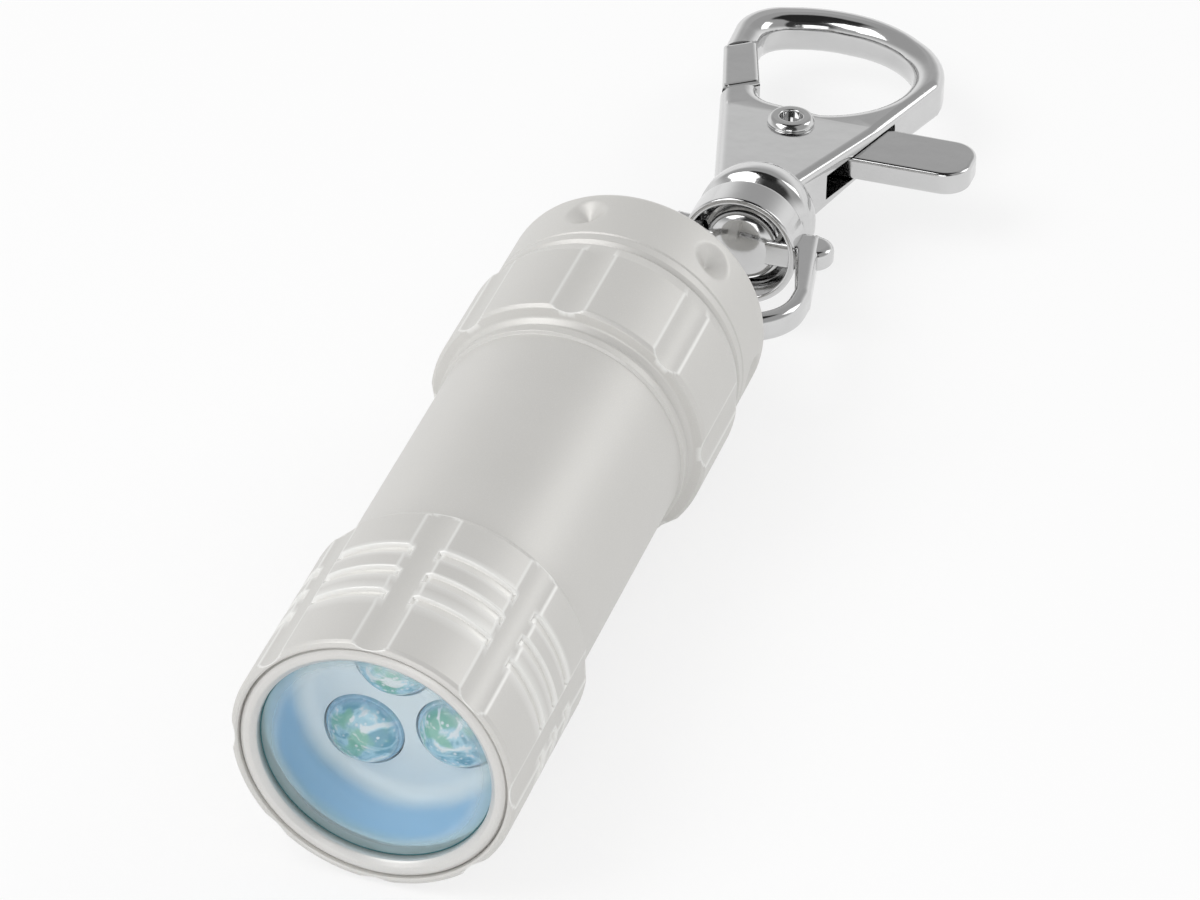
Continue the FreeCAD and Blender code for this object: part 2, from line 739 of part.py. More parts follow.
# Hook body: tapered plate that ends in a ring
hook = clip_body("hook_body")
plan_sketch = new_sketch(hook, "plan", "XY_Plane")
outline(plan_sketch, [
    ("body_base_right", "body_base_at"),
    ("ring_right", "ring_right_at"),
    ("ring_upper_right", "ring_upper_right_at", "ring_right_curve"),
    ("-ring_top_side", "ring_top", "ring_top_curve"),
    ("-ring_upper_left", "ring_upper_left_at", "ring_crown_curve"),
    ("-ring_left", "ring_left_at", "ring_left_curve"),
    ("-nose_side", "nose_at"),
    ("-body_base_left", "body_base_at"),
])
pad(hook, plan_sketch, "2 * body_base_half", both=True)
taper_sketch = new_sketch(hook, "taper", "YZ_Plane")
for side in ("", "-"):
    outline(taper_sketch, [
        ("body_base_at", side + "body_base_half"), ("ring_flat_from", side + "ring_half"),
        ("2 * ring_top", side + "ring_half"), ("2 * ring_top", side + "(2 * body_base_half)"),
        ("body_base_at", side + "(2 * body_base_half)")])
pocket(hook, taper_sketch, both=True)

opening_sketch = new_sketch(hook, "opening", "XY_Plane")
outline(opening_sketch, [
    ("web_right_side", "web_edge_at"),
    ("opening_right", "opening_right_at", "opening_right_curve"),
    ("opening_upper_right", "opening_upper_right_at", "opening_side_curve"),
    ("-ring_top_side", "ring_top - ring_bar", "opening_top_curve"),
    ("-opening_upper_left", "opening_upper_left_at", "opening_crown_curve"),
    ("-opening_left", "ring_left_at", "opening_corner"),
    ("-opening_left", "opening_left_at"),
    ("-web_gate_side", "web_gate_at"),
    ("-web_left_side", "web_left_at", "web_corner"),
])
pocket(hook, opening_sketch, both=True)
flange_sketch = new_sketch(hook, "flange", "XY_Plane")
flange_edge = flange_start + " + flange_rim"
flange_top = flange_edge + " + flange_dome"
outline(flange_sketch, [
    ("0", flange_start), ("flange_radius - flange_bevel", flange_start),
    ("flange_radius", flange_start + " + flange_bevel"), ("flange_radius", flange_edge),
    ("flange_top_radius", flange_top, "flange_dome_curve"), ("0", flange_top)])
revolve(hook, flange_sketch, axis="V_Axis")
pin_bore_sketch = new_sketch(hook, "pin_bore", "XZ_Plane", offset="-(" + pin_end + " + press_gap)")
circle(pin_bore_sketch, "0", "0", "pin_radius + press_gap")
pocket(hook, pin_bore_sketch, "pin_grip + swivel_gap + press_gap", back=True)


def joint_line(side, shift):
    """Point at this side on the line where the lever's gate meets the plate."""
    return side, "joint_at + gate_line_slope * (%s + joint_side)%s" % (side, shift)


def seam_line(side, shift):
    """Point at this side on the line where the gate meets the ring's nose."""
    return side, "seam_at + gate_line_slope * (%s + seam_side)%s" % (side, shift)


gate_cut_sketch = new_sketch(hook, "gate_cut", "XY_Plane")
outline(gate_cut_sketch, [
    joint_line("-ring_left - nub_radius", ""), joint_line("-web_left_side", ""),
    seam_line("-web_left_side", ""), seam_line("-ring_left - nub_radius", "")])
pocket(hook, gate_cut_sketch, both=True)
slot_sketch = new_sketch(hook, "lever_slot", "XY_Plane")
outline(slot_sketch, [
    ("2 * ring_right", "slot_mouth_at"),
    ("slot_mouth_side", "slot_mouth_at"),
    ("slot_mouth_side", "slot_floor_at"),
    ("slot_floor_side", "slot_floor_at"),
    ("-slot_left_side", "slot_left_at"),
    ("-slot_upper_left", "slot_upper_left_at"),
    ("-slot_end_side", "slot_end_at"),
    ("-slot_end_side", "slot_top"),
    ("-web_left_side", "slot_top"),
    ("slot_web_side", "slot_web_at"),
    ("2 * ring_right", "slot_web_at"),
])
pocket(hook, slot_sketch, "2 * slot_half", both=True)
for seat, upward in (("rivet_seat_half", True), ("-rivet_seat_half", False)):
    seat_sketch = new_sketch(hook, "rivet_seat", "XY_Plane", offset=seat)
    circle(seat_sketch, "-pivot_side", "pivot_at", "rivet_head_radius + rivet_seat_gap")
    pocket(hook, seat_sketch, back=upward)
rivet_bore_sketch = new_sketch(hook, "rivet_bore", "XY_Plane")
circle(rivet_bore_sketch, "-pivot_side", "pivot_at", "rivet_radius + press_gap")
pocket(hook, rivet_bore_sketch, both=True)

# Gate lever: gate bar that closes the ring, arm and hub inside the plate, thumb tab outside
lever = clip_body("gate_lever")
bar_sketch = new_sketch(lever, "gate_bar", "XY_Plane")
outline(bar_sketch, [
    joint_line("-gate_outer_joint", " + gate_gap"), joint_line("-gate_inner_joint", " + gate_gap"),
    seam_line("-opening_left", " - gate_gap"), seam_line("-nose_side", " - gate_gap")])
pad(lever, bar_sketch, "2 * ring_half", both=True)
arm_sketch = new_sketch(lever, "arm", "XY_Plane")
outline(arm_sketch, [
    ("-pivot_side", "arm_low_at"),
    ("-pivot_side", "arm_high_at"),
    ("-web_left_side", "arm_bend_at"),
    ("-web_gate_side", "arm_gate_at"),
    ("-arm_tip_side", "arm_tip_at"),
    ("-arm_end_side", "arm_end_at"),
])
pad(lever, arm_sketch, "2 * lever_half", both=True)
hub_disc_sketch = new_sketch(lever, "hub", "XY_Plane")
circle(hub_disc_sketch, "-pivot_side", "pivot_at", "lever_hub_radius")
pad(lever, hub_disc_sketch, "2 * lever_half", both=True)
tab_sketch = new_sketch(lever, "tab", "XY_Plane")
outline(tab_sketch, [
    ("-pivot_side", "tab_low"),
    ("tab_end - tab_corner", "tab_low"),
    ("tab_end", "tab_low + tab_corner", "tab_corner"),
    ("tab_end", "tab_high - tab_corner"),
    ("tab_end - tab_corner", "tab_high", "tab_corner"),
    ("tab_start", "tab_high"),
    ("tab_root_side", "arm_high_at"),
    ("-pivot_side", "arm_high_at"),
])
pad(lever, tab_sketch, "2 * lever_half", both=True)
lever_bore_sketch = new_sketch(lever, "bore", "XY_Plane")
circle(lever_bore_sketch, "-pivot_side", "pivot_at", "rivet_radius + rivet_clearance")
pocket(lever, lever_bore_sketch, both=True)

# Hollow rivet with two rolled heads, on the lever's pivot
rivet = clip_body("gate_rivet")
rivet_sketch = new_sketch(rivet, "profile", "XZ_Plane", offset="-pivot_at", along="-pivot_side")
rivet_top = "(rivet_seat_half + rivet_head_height)"
outline(rivet_sketch, [
    ("rivet_bore_radius", "-" + rivet_top),
    ("rivet_radius", "-" + rivet_top),
    ("rivet_head_radius", "-rivet_seat_half", "rivet_head_curve"),
    ("rivet_radius", "-rivet_seat_half"),
    ("rivet_radius", "rivet_seat_half"),
    ("rivet_head_radius", "rivet_seat_half"),
    ("rivet_radius", rivet_top, "rivet_head_curve"),
    ("rivet_bore_radius", rivet_top),
])
revolve(rivet, rivet_sketch, axis="V_Axis")

# Return spring of the lever, in the slot between the plate and the tab
gate_spring = clip_body("gate_spring")
spring_sketch = new_sketch(gate_spring, "section", "XZ_Plane", offset="-(slot_floor_at + gate_spring_gap)")
circle(spring_sketch, "gate_spring_side", "0", "gate_spring_radius")
circle(spring_sketch, "gate_spring_side", "0", "gate_spring_radius - gate_spring_wall")
pad(gate_spring, spring_sketch, "tab_low - slot_floor_at - 2 * gate_spring_gap", back=True)

# Lay the hook behind the torch and check every feature
for body in clip_bodies:
    body.Placement = CLIP
doc.recompute()
for item in doc.Objects:
    if "Invalid" in item.State or "Error" in item.State:
        raise RuntimeError(item.Name + " is not right: " + str(item.State))
bodies = [item for item in doc.Objects if item.TypeId == "PartDesign::Body"]
for body in bodies:
    if body.Shape.isNull() or not body.Shape.isValid():
        raise RuntimeError(body.Name + " has no valid shape")

# Set the whole object down on the table and write the pieces
whole = Part.makeCompound([body.Shape for body in bodies]).optimalBoundingBox(False)
middle = FreeCAD.Vector((whole.XMin + whole.XMax) / 2, (whole.YMin + whole.YMax) / 2, whole.ZMin)
print("origin moved by", middle, "size", whole.XLength, whole.YLength, whole.ZLength)
for body in bodies:
    placement = FreeCAD.Placement(body.Placement)
    placement.Base = placement.Base - middle
    body.Placement = placement
doc.recompute()
pivot = CLIP.multVec(FreeCAD.Vector(-val("pivot_side"), val("pivot_at"), 0)) - middle
print("bail hinge", CLIP.Base - middle, clip_turn.multVec(FreeCAD.Vector(1, 0, 0)))
print("swivel", CLIP.multVec(FreeCAD.Vector(0, val(hub_end), 0)) - middle,
      CLIP.Rotation.multVec(FreeCAD.Vector(0, 1, 0)))
print("gate pivot", pivot, CLIP.Rotation.multVec(FreeCAD.Vector(0, 0, 1)))
os.makedirs("parts", exist_ok=True)
for body in bodies:
    body.Shape.exportStep("parts/" + body.Label + ".step")
print(len(bodies), "pieces")
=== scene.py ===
"""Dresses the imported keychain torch: turned aluminium body, lens group and nickel snap hook."""
import json
import math

import bmesh
import bpy
from mathutils import Matrix, Vector
from mathutils.geometry import delaunay_2d_cdt


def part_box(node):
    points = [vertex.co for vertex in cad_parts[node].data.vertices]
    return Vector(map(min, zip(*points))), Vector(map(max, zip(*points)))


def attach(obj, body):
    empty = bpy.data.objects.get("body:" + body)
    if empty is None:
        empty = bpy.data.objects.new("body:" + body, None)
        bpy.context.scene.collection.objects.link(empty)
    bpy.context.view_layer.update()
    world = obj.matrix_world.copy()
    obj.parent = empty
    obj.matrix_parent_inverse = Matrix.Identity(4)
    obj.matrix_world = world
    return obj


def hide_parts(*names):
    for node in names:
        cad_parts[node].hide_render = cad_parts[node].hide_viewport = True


bl_info = {
    "name": "Keychain torch",
    "version": (1, 0, 0),
    "blender": (4, 5, 0),
    "location": "View3D > Sidebar > Torch",
    "description": "Builds the visible pieces of a keychain torch with a snap hook",
    "category": "Add Mesh",
}

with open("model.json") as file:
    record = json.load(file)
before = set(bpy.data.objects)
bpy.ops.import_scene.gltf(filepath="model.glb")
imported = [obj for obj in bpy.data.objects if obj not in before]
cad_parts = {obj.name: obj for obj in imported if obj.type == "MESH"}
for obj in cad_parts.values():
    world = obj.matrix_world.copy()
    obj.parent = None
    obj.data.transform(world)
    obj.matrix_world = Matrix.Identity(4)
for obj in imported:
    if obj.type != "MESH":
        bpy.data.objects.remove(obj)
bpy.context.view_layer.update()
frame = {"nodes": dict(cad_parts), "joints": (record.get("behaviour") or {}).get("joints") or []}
MM = 0.001
SCALE = Matrix.Diagonal((MM, MM, MM, 1))
JOINTS = {joint["name"]: joint for joint in frame["joints"]}
AXIS_X, _, AXIS_Z = JOINTS["cap_turn"]["pos_m"]

# From a piece's own axes to the frame. The torch's run across, backwards from the lens opening
# and up; the hook's run across, away from the torch and up, from the middle of the bail's bar.
TORCH = Matrix.Translation((AXIS_X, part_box("barrel")[0][1], AXIS_Z)) @ SCALE
HOOK_AXES = Matrix([JOINTS[name]["axis"] for name in ("bail_swing", "swivel", "gate_swing")])
HOOK = Matrix.Translation(JOINTS["bail_swing"]["pos_m"]) @ HOOK_AXES.transposed().to_4x4() @ SCALE

# Turns a lathe's axis upright
UPRIGHT = Matrix.Rotation(math.pi / 2, 4, "X")

# Measures of the torch in millimetres, along it from the front of the barrel
HEAD_RADIUS = 9.75
WAIST_RADIUS = 8.75
COLLAR_RADIUS = 10.0
CAP_RADIUS = 9.5
LENS_BORE = 8.45
CELL_BORE = 7.3
NECK_BORE = 8.05
WAIST_MIDDLE = 20.0
CAP_FRONT = 47.2
CAP_REAR = 53.5
DIMPLE_AT = 51.0
DIMPLE_RADIUS = 1.5
FIRST_DIMPLE = math.radians(107.6)
PANELS = 8
DIMPLES = 6
SLOT_ROWS = 3
FIRST_SLOT = 5.55
SLOT_PITCH = 2.45
SLOT_HALF_ANGLE = 17.0
FLUTE_CUTTER = 2.6
FLUTED_FROM = 9.2
DIMPLED_FROM = 8.9
SKIN_FROM = 8.7
SHORT_RUN = 0.2
LAMP_CIRCLE = 3.75
LAMP_TURN = 101
LAMP_RADIUS = 2.46
LAMP_SHOULDER = 6.1
LUG_SLOT_HALF = 3.7
LUG_HALF = 1.2

# Measures of the bail and the hook in millimetres, along them from the middle of the bail's bar
LOOP_HALF_WIDTH = 6.9
LOOP_BEND = 4.5
LOOP_SHOULDER = 5.4
PIN_HEAD_RADIUS = 2.75
PIN_NECK = 1.5
PIN_HOLE = 1.55
RING_HALF = 1.55
FOOT_RISE = 0.9
RAMP_AT = 28.2
RAMP_LENGTH = 12.6
FLANGE_AT = 14.95
RIVET_PLACE = Matrix.Translation((-0.9, 26.7, 0)) @ UPRIGHT
GATE_SLOPE = 0.78
GATE_GAP = 0.12
ARM_HALF = 0.88
TAB_HALF = 0.9

# Extra points that keep the shading flat beside a rounding, and the share of a side it may take
CORNER_RUN = 0.06
EDGE_RUN = 0.05
LEAST_RUN = 0.004
CORNER_SHARE = 0.48


# Node trees

class Wire:
    """An output socket whose sums are made of Math nodes."""

    def __init__(self, tree, socket):
        self.tree = tree
        self.socket = socket

    def math(self, operation, *others):
        values = dict(enumerate((self,) + others))
        return add(self.tree, "ShaderNodeMath", {"operation": operation}, values)

    def __add__(self, other):
        return self.math("ADD", other)

    def __sub__(self, other):
        return self.math("SUBTRACT", other)

    def __mul__(self, other):
        return self.math("MULTIPLY", other)

    def __truediv__(self, other):
        return self.math("DIVIDE", other)

    def __rsub__(self, other):
        return (self * -1) + other

    __radd__ = __add__
    __rmul__ = __mul__

    def clamp(self, low, high):
        return self.math("MAXIMUM", low).math("MINIMUM", high)

    def fade(self, low, high):
        """0 below low, 1 above high and smooth between."""
        return add(self.tree, "ShaderNodeMapRange", {"interpolation_type": "SMOOTHSTEP"},
                   {"Value": self, "From Min": low, "From Max": high})

    def within(self, limit, before, after):
        """1 below the limit, 0 above it and smooth from before it to after it."""
        return 1 - self.fade(limit - before, limit + after)


def add(tree, kind, settings=None, sockets=None, out=0):
    """Adds a node: its settings first, then the values or links of its sockets."""
    node = tree.nodes.new(kind)
    for key, value in (settings or {}).items():
        setattr(node, key, value)
    for key, value in (sockets or {}).items():
        socket = node.inputs[key]
        if isinstance(value, Wire):
            tree.links.new(value.socket, socket)
        else:
            socket.default_value = value
    return Wire(tree, node.outputs[out]) if node.outputs else None


def outputs(wire):
    """Every output of the node that a wire comes from, by name."""
    sockets = wire.socket.node.outputs
    return {socket.name: Wire(wire.tree, socket) for socket in sockets if socket.name}


def axes(tree, vector):
    """The three numbers of a vector."""
    return outputs(add(tree, "ShaderNodeSeparateXYZ", {}, {0: vector})).values()


def rgba(colour):
    return (colour[0], colour[1], colour[2], 1.0)


def blend(tree, amount, first, second):
    """Colour between two colours or coloured wires."""
    first = first if isinstance(first, Wire) else rgba(first)
    second = second if isinstance(second, Wire) else rgba(second)
    return add(tree, "ShaderNodeMix", {"data_type": "RGBA"}, {0: amount, 6: first, 7: second}, out=2)


def noise(tree, place, scale, detail=2.0, rough=0.5, distortion=0.0):
    return add(tree, "ShaderNodeTexNoise", {}, {
        "Vector": place, "Scale": scale, "Detail": detail, "Roughness": rough,
        "Distortion": distortion})


def bump(tree, height, depth, strength=1.0):
    sockets = {"Height": height, "Distance": depth, "Strength": strength}
    return add(tree, "ShaderNodeBump", {}, sockets)


def new_material(name):
    """Material with an empty node tree."""
    material = bpy.data.materials.new(name)
    material.use_nodes = True
    material.node_tree.nodes.clear()
    return material


def finish(name, build, **fixed):
    """Material whose varying sockets come from build(tree, place) and whose others are fixed."""
    material = new_material(name)
    tree = material.node_tree
    place = add(tree, "ShaderNodeTexCoord", out="Object")
    sockets = {key.replace("_", " "): value for key, value in fixed.items()}
    sockets.update(build(tree, place))
    shader = add(tree, "ShaderNodeBsdfPrincipled", {}, sockets)
    add(tree, "ShaderNodeOutputMaterial", {}, {"Surface": shader})
    return material


# Meshes

def rounded(points, steps=5):
    """Closed outline with its corners rounded. A point is (x, y) or (x, y, radius)."""
    result = []
    count = len(points)
    for i, point in enumerate(points):
        here = Vector(point[:2])
        radius = point[2] if len(point) > 2 else 0
        back = Vector(points[i - 1][:2]) - here
        ahead = Vector(points[(i + 1) % count][:2]) - here
        if not radius or back.length < 1e-6 or ahead.length < 1e-6:
            result.append(here)
            continue
        a, b = back.normalized(), ahead.normalized()
        corner = math.acos(max(-1, min(1, a.dot(b))))
        reach = min(radius / math.tan(corner / 2), back.length * CORNER_SHARE,
                    ahead.length * CORNER_SHARE)
        radius = reach * math.tan(corner / 2)
        start, end = here + a * reach, here + b * reach
        centre = here + (a + b).normalized() * (radius / math.sin(corner / 2))
        free = min(back.length, ahead.length) * CORNER_SHARE - reach
        extra = min(CORNER_RUN, free * 0.9)
        if extra > LEAST_RUN:
            result.append(start + a * extra)
        first = start - centre
        turn = first.angle_signed(end - centre)
        for k in range(steps + 1):
            arm = first.copy()
            arm.rotate(Matrix.Rotation(-turn * k / steps, 2))
            result.append(centre + arm)
        if extra > LEAST_RUN:
            result.append(end + b * extra)
    return result


def arc_outline(points, step=0.35):
    """Closed outline sampled finely. A point is (x, y), or (x, y, r) at the end of an arc."""
    result = []
    for i, point in enumerate(points):
        here, there = Vector(points[i - 1][:2]), Vector(point[:2])
        chord = there - here
        parts = max(1, round(chord.length / step))
        if len(point) == 2:
            result += [here + chord * (k + 1) / parts for k in range(parts)]
            continue
        radius = point[2]
        side = Vector((-chord.y, chord.x)).normalized()
        depth = math.sqrt(max(radius ** 2 - chord.length_squared / 4, 0))
        centre = (here + there) / 2 + side * math.copysign(depth, radius)
        start, end = here - centre, there - centre
        turn = -start.angle_signed(end)
        for k in range(parts):
            arm = start.copy()
            arm.rotate(Matrix.Rotation(turn * (k + 1) / parts, 2))
            result.append(centre + arm)
    return result


def dome(start, height, base, radius, steps, power=1.0):
    """Profile of a quarter turn, from just past its widest point to its top."""
    turns = [math.pi / 2 * k / steps for k in range(1, steps + 1)]
    return [(start + height * math.sin(turn), base + radius * math.cos(turn) ** power)
            for turn in turns]


def new_object(name, vertices, faces, smooth=True):
    mesh = bpy.data.meshes.new(name)
    mesh.from_pydata(vertices, [], faces)
    mesh.validate()
    mesh.update()
    thing = bpy.data.objects.new(name, mesh)
    bpy.context.scene.collection.objects.link(thing)
    if smooth:
        mesh.shade_smooth()
    return thing


def outwards(thing):
    """Joins doubled points and turns every face outwards."""
    mesh = bmesh.new()
    mesh.from_mesh(thing.data)
    bmesh.ops.remove_doubles(mesh, verts=mesh.verts, dist=1e-6)
    bmesh.ops.recalc_face_normals(mesh, faces=mesh.faces)
    mesh.to_mesh(thing.data)
    mesh.free()


def lathe(name, profile, steps=160):
    """Solid or ring turned round the Y axis from a closed profile of (along, radius) points."""
    vertices, rows = [], []
    for along, radius in profile:
        if radius < 1e-5:
            rows.append([len(vertices)] * steps)
            vertices.append((0, along, 0))
            continue
        rows.append(list(range(len(vertices), len(vertices) + steps)))
        for k in range(steps):
            angle = 2 * math.pi * k / steps
            vertices.append((radius * math.cos(angle), along, radius * math.sin(angle)))
    faces = []
    for low, high in zip(rows, rows[1:] + rows[:1]):
        for k in range(steps):
            n = (k + 1) % steps
            ring = [low[k], low[n], high[n], high[k]]
            face = [v for place, v in enumerate(ring) if v != ring[place - 1]]
            if len(face) > 2:
                faces.append(face)
    thing = new_object(name, vertices, faces)
    outwards(thing)
    return thing


def shifted(loop, distance):
    """Loop moved to its left."""
    moved = []
    for i, point in enumerate(loop):
        way = (loop[(i + 1) % len(loop)] - loop[i - 1]).normalized()
        moved.append(point + Vector((-way.y, way.x)) * distance)
    return moved


def inside(point, loop):
    """Whether a point lies within a closed loop."""
    crossings = 0
    for i, there in enumerate(loop):
        here = loop[i - 1]
        if (here.y > point.y) != (there.y > point.y):
            part = (there.x - here.x) * (point.y - here.y) / (there.y - here.y)
            crossings += point.x < here.x + part
    return crossings % 2 == 1


def plate(name, outer, inner=None, half=1.0, outer_round=0.3, inner_round=0.3, steps=5,
          crease=()):
    """Flat piece with a rounded outer edge and, if it has one, a rounded hole.
    Half is its half thickness, or half(v) a tapered piece's, with crease as the line where
    the taper starts."""
    points, edges, drops, walls = [], [], [], []
    for loop, size, sign in ((outer, outer_round, 1), (inner, inner_round, -1)):
        if loop is None:
            continue
        walls.append((len(points), len(loop)))
        for k in range(steps + 2):
            angle = math.pi / 2 * min(k, steps) / steps
            inset = size * (1 - math.cos(angle)) + (EDGE_RUN if k > steps else 0)
            start = len(points)
            points += shifted(loop, sign * inset)
            drops += [size * (1 - math.sin(angle))] * len(loop)
            edges += [(start + i, start + (i + 1) % len(loop)) for i in range(len(loop))]
    for i, point in enumerate(crease):
        if i:
            edges.append((len(points) - 1, len(points)))
        points.append(Vector(point))
        drops.append(0)
    flat, _, faces, originals, _, _ = delaunay_2d_cdt(points, edges, [], 1, 1e-5)
    if inner is not None:
        middles = [sum((flat[v] for v in face), Vector((0, 0))) / len(face) for face in faces]
        faces = [face for face, middle in zip(faces, middles) if not inside(middle, inner)]
    lookup, height = {}, {}
    for new, olds in enumerate(originals):
        for old in olds:
            lookup[old] = new
            height[new] = drops[old]
    vertices = []
    for n, point in enumerate(flat):
        level = half(point.y) if callable(half) else half
        vertices.append((point.x, point.y, level - height.get(n, 0)))
    count = len(vertices)
    vertices += [(x, y, -z) for x, y, z in vertices]
    solid = [list(face) for face in faces] + [[v + count for v in reversed(face)] for face in faces]
    for start, number in walls:
        top = [lookup[start + k] for k in range(number)]
        rows = [top]
        for sign in (1, -1):
            row = []
            for v in top:
                x, y, z = vertices[v]
                row.append(len(vertices))
                vertices.append((x, y, (z - EDGE_RUN) * sign))
            rows.append(row)
        rows.append([v + count for v in top])
        for above, below in zip(rows, rows[1:]):
            for k in range(number):
                n = (k + 1) % number
                solid.append([above[k], above[n], below[n], below[k]])
    thing = new_object(name, vertices, solid)
    outwards(thing)
    return thing


def prism(name, points, low, high):
    """Upright block over an outline, used for cutting."""
    count = len(points)
    vertices = [(p[0], p[1], low) for p in points] + [(p[0], p[1], high) for p in points]
    faces = [list(range(count))[::-1], list(range(count, 2 * count))]
    for k in range(count):
        n = (k + 1) % count
        faces.append([k, n, n + count, k + count])
    thing = new_object(name, vertices, faces, smooth=False)
    outwards(thing)
    return thing


def join(name, things):
    """One object from several."""
    with bpy.context.temp_override(active_object=things[0], selected_editable_objects=things):
        bpy.ops.object.join()
    things[0].name = name
    return things[0]


def settle(thing):
    """Makes a plain mesh of a piece with its modifiers and removes them."""
    bpy.context.view_layer.update()
    evaluated = thing.evaluated_get(bpy.context.evaluated_depsgraph_get())
    mesh = bpy.data.meshes.new_from_object(evaluated)
    thing.modifiers.clear()
    thing.data = mesh


def cut(thing, cutter):
    """Takes the cutter's shape out of the piece."""
    modifier = thing.modifiers.new("cut", "BOOLEAN")
    modifier.operation = "DIFFERENCE"
    modifier.solver = "EXACT"
    modifier.object = cutter
    settle(thing)
    bpy.data.objects.remove(cutter)


def sharpen(thing, angle):
    """Smooth shading that breaks at edges sharper than this."""
    thing.data.shade_smooth()
    thing.data.set_sharp_from_angle(angle=math.radians(angle))


def dress(thing, name, matrix, material, body, slot, *nodes):
    """Puts a finished piece in the frame, gives it its material and lets it stand for CAD nodes."""
    thing.name = name
    thing.data.name = name
    thing.data.transform(matrix)
    thing.data.materials.clear()
    thing.data.materials.append(material)
    if nodes:
        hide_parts(*nodes)
    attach(thing, body)


def paint(node, material):
    """A CAD node keeps its shape, takes this material and is shaded smooth but for its edges."""
    thing = frame["nodes"][node]
    thing.data.materials.clear()
    thing.data.materials.append(material)
    tree = bpy.data.node_groups.get("smooth_faces") or smooth_tree()
    thing.modifiers.new("smooth", "NODES").node_group = tree


# Finishes

def satin(tint):
    """Anodised aluminium: fine grain, with painted highlights that make it paler in the slots, round
    their outlines and along the flutes' edges.
    """
    def build(tree, place):
        grain = noise(tree, place, 9000.0, 3.0, 0.7)
        cloud = noise(tree, place, 160.0)
        speck = noise(tree, place, 26000.0, 1.0).fade(0.66, 0.74)
        colour = blend(tree, cloud, [c * 0.965 for c in tint], [min(c * 1.02, 1) for c in tint])
        colour = blend(tree, grain * 0.35, colour, [c * 0.86 for c in tint])
        colour = blend(tree, speck * 0.5, colour, (0.95, 0.95, 0.94))
        # Painted highlights: the slots, and through the light mark the slot outlines and flute
        # edges, are made paler, standing in for light caught there.
        painted_slot_highlight = add(tree, "ShaderNodeAttribute", {"attribute_name": "painted_slot_highlight"}, out="Fac")
        light = add(tree, "ShaderNodeAttribute", {"attribute_name": "light"}, out="Fac")
        colour = blend(tree, painted_slot_highlight * 0.75, colour, (0.88, 0.87, 0.84))
        colour = blend(tree, light * 0.8, colour, (0.93, 0.93, 0.91))
        return {"Base Color": colour,
                "Roughness": grain * 0.14 + cloud * 0.06 + 0.34 - painted_slot_highlight * 0.12,
                "Normal": bump(tree, grain, 0.000006, 0.5)}
    return build


def plated(tint, rough=0.07):
    """Nickel plating: a slight wave, small pits and smudges."""
    def build(tree, place):
        wave = noise(tree, place, 420.0)
        pits = noise(tree, place, 3800.0).fade(0.68, 0.76)
        smudge = noise(tree, place, 900.0, 3.0)
        return {"Base Color": blend(tree, smudge * 0.5, tint, [c * 0.88 for c in tint]),
                "Roughness": smudge * 0.08 + pits * 0.1 + rough,
                "Normal": bump(tree, wave + pits * -0.04, 0.00004, 0.35)}
    return build


def plain(colour, grain, rough):
    """Moulded or cast stuff with a faint cloud in it."""
    def build(tree, place):
        cloud = noise(tree, place, grain, 3.0)
        return {"Base Color": blend(tree, cloud, [c * 0.85 for c in colour], colour),
                "Roughness": cloud * 0.15 + rough,
                "Normal": bump(tree, cloud, 0.000008, 0.4)}
    return build


def brushed(colour):
    """Metal with fine turned lines."""
    def build(tree, place):
        ring = add(tree, "ShaderNodeVectorMath", {"operation": "MULTIPLY"},
                   {0: place, 1: (1.0, 12.0, 1.0)})
        line = noise(tree, ring, 2500.0)
        return {"Base Color": blend(tree, line * 0.6, colour, [c * 0.8 for c in colour]),
                "Roughness": line * 0.15 + 0.22,
                "Normal": bump(tree, line, 0.000004, 0.4)}
    return build


def cup(wall, floor, edge):
    """Mirror cup with painted reflection of the lamps' light: pale at the floor, blue up the wall,
    grey-green by the lens.
    """
    def build(tree, place):
        _, along, _ = axes(tree, place)
        depth = along - TORCH.translation.y
        cloud = noise(tree, place, 220.0)
        colour = blend(tree, (depth + cloud * 0.0008).fade(0.0048, 0.0064), wall, floor)
        colour = blend(tree, (depth + cloud * 0.0006).fade(0.0024, 0.0036), edge, colour)
        return {"Base Color": colour, "Roughness": cloud * 0.1 + 0.38,
                "Normal": bump(tree, cloud, 0.00003, 0.2)}
    return build


def clear_disc(middle, edge, line):
    """Clear lens whose outer ring is painted a fairly opaque grey-green, painted light over the
    shade behind its edge, with a thin dark line near the bezel.
    """
    def build(tree, place):
        across, along, up = axes(tree, place)
        x, z = across - TORCH.translation.x, up - TORCH.translation.z
        radius = (x * x + z * z).math("SQRT") * 1000
        cloud = noise(tree, place, 300.0)
        depth = (along - TORCH.translation.y) * 1000
        front = 1 - depth.fade(1.1, 1.2)
        # Painted light: the outer ring is made a fairly opaque grey-green over the shaded gap behind
        # the lens's edge.
        rim = (radius + cloud * 0.5).fade(6.6, 8.1) * front
        dark_line = radius.fade(7.86, 7.93) * front
        colour = blend(tree, dark_line, blend(tree, rim, middle, edge), line)
        return {"Base Color": colour, "Roughness": cloud * 0.04 + 0.02,
                "Alpha": (rim * 0.5 + dark_line * 0.45 + 0.04).clamp(0.0, 1.0)}
    return build


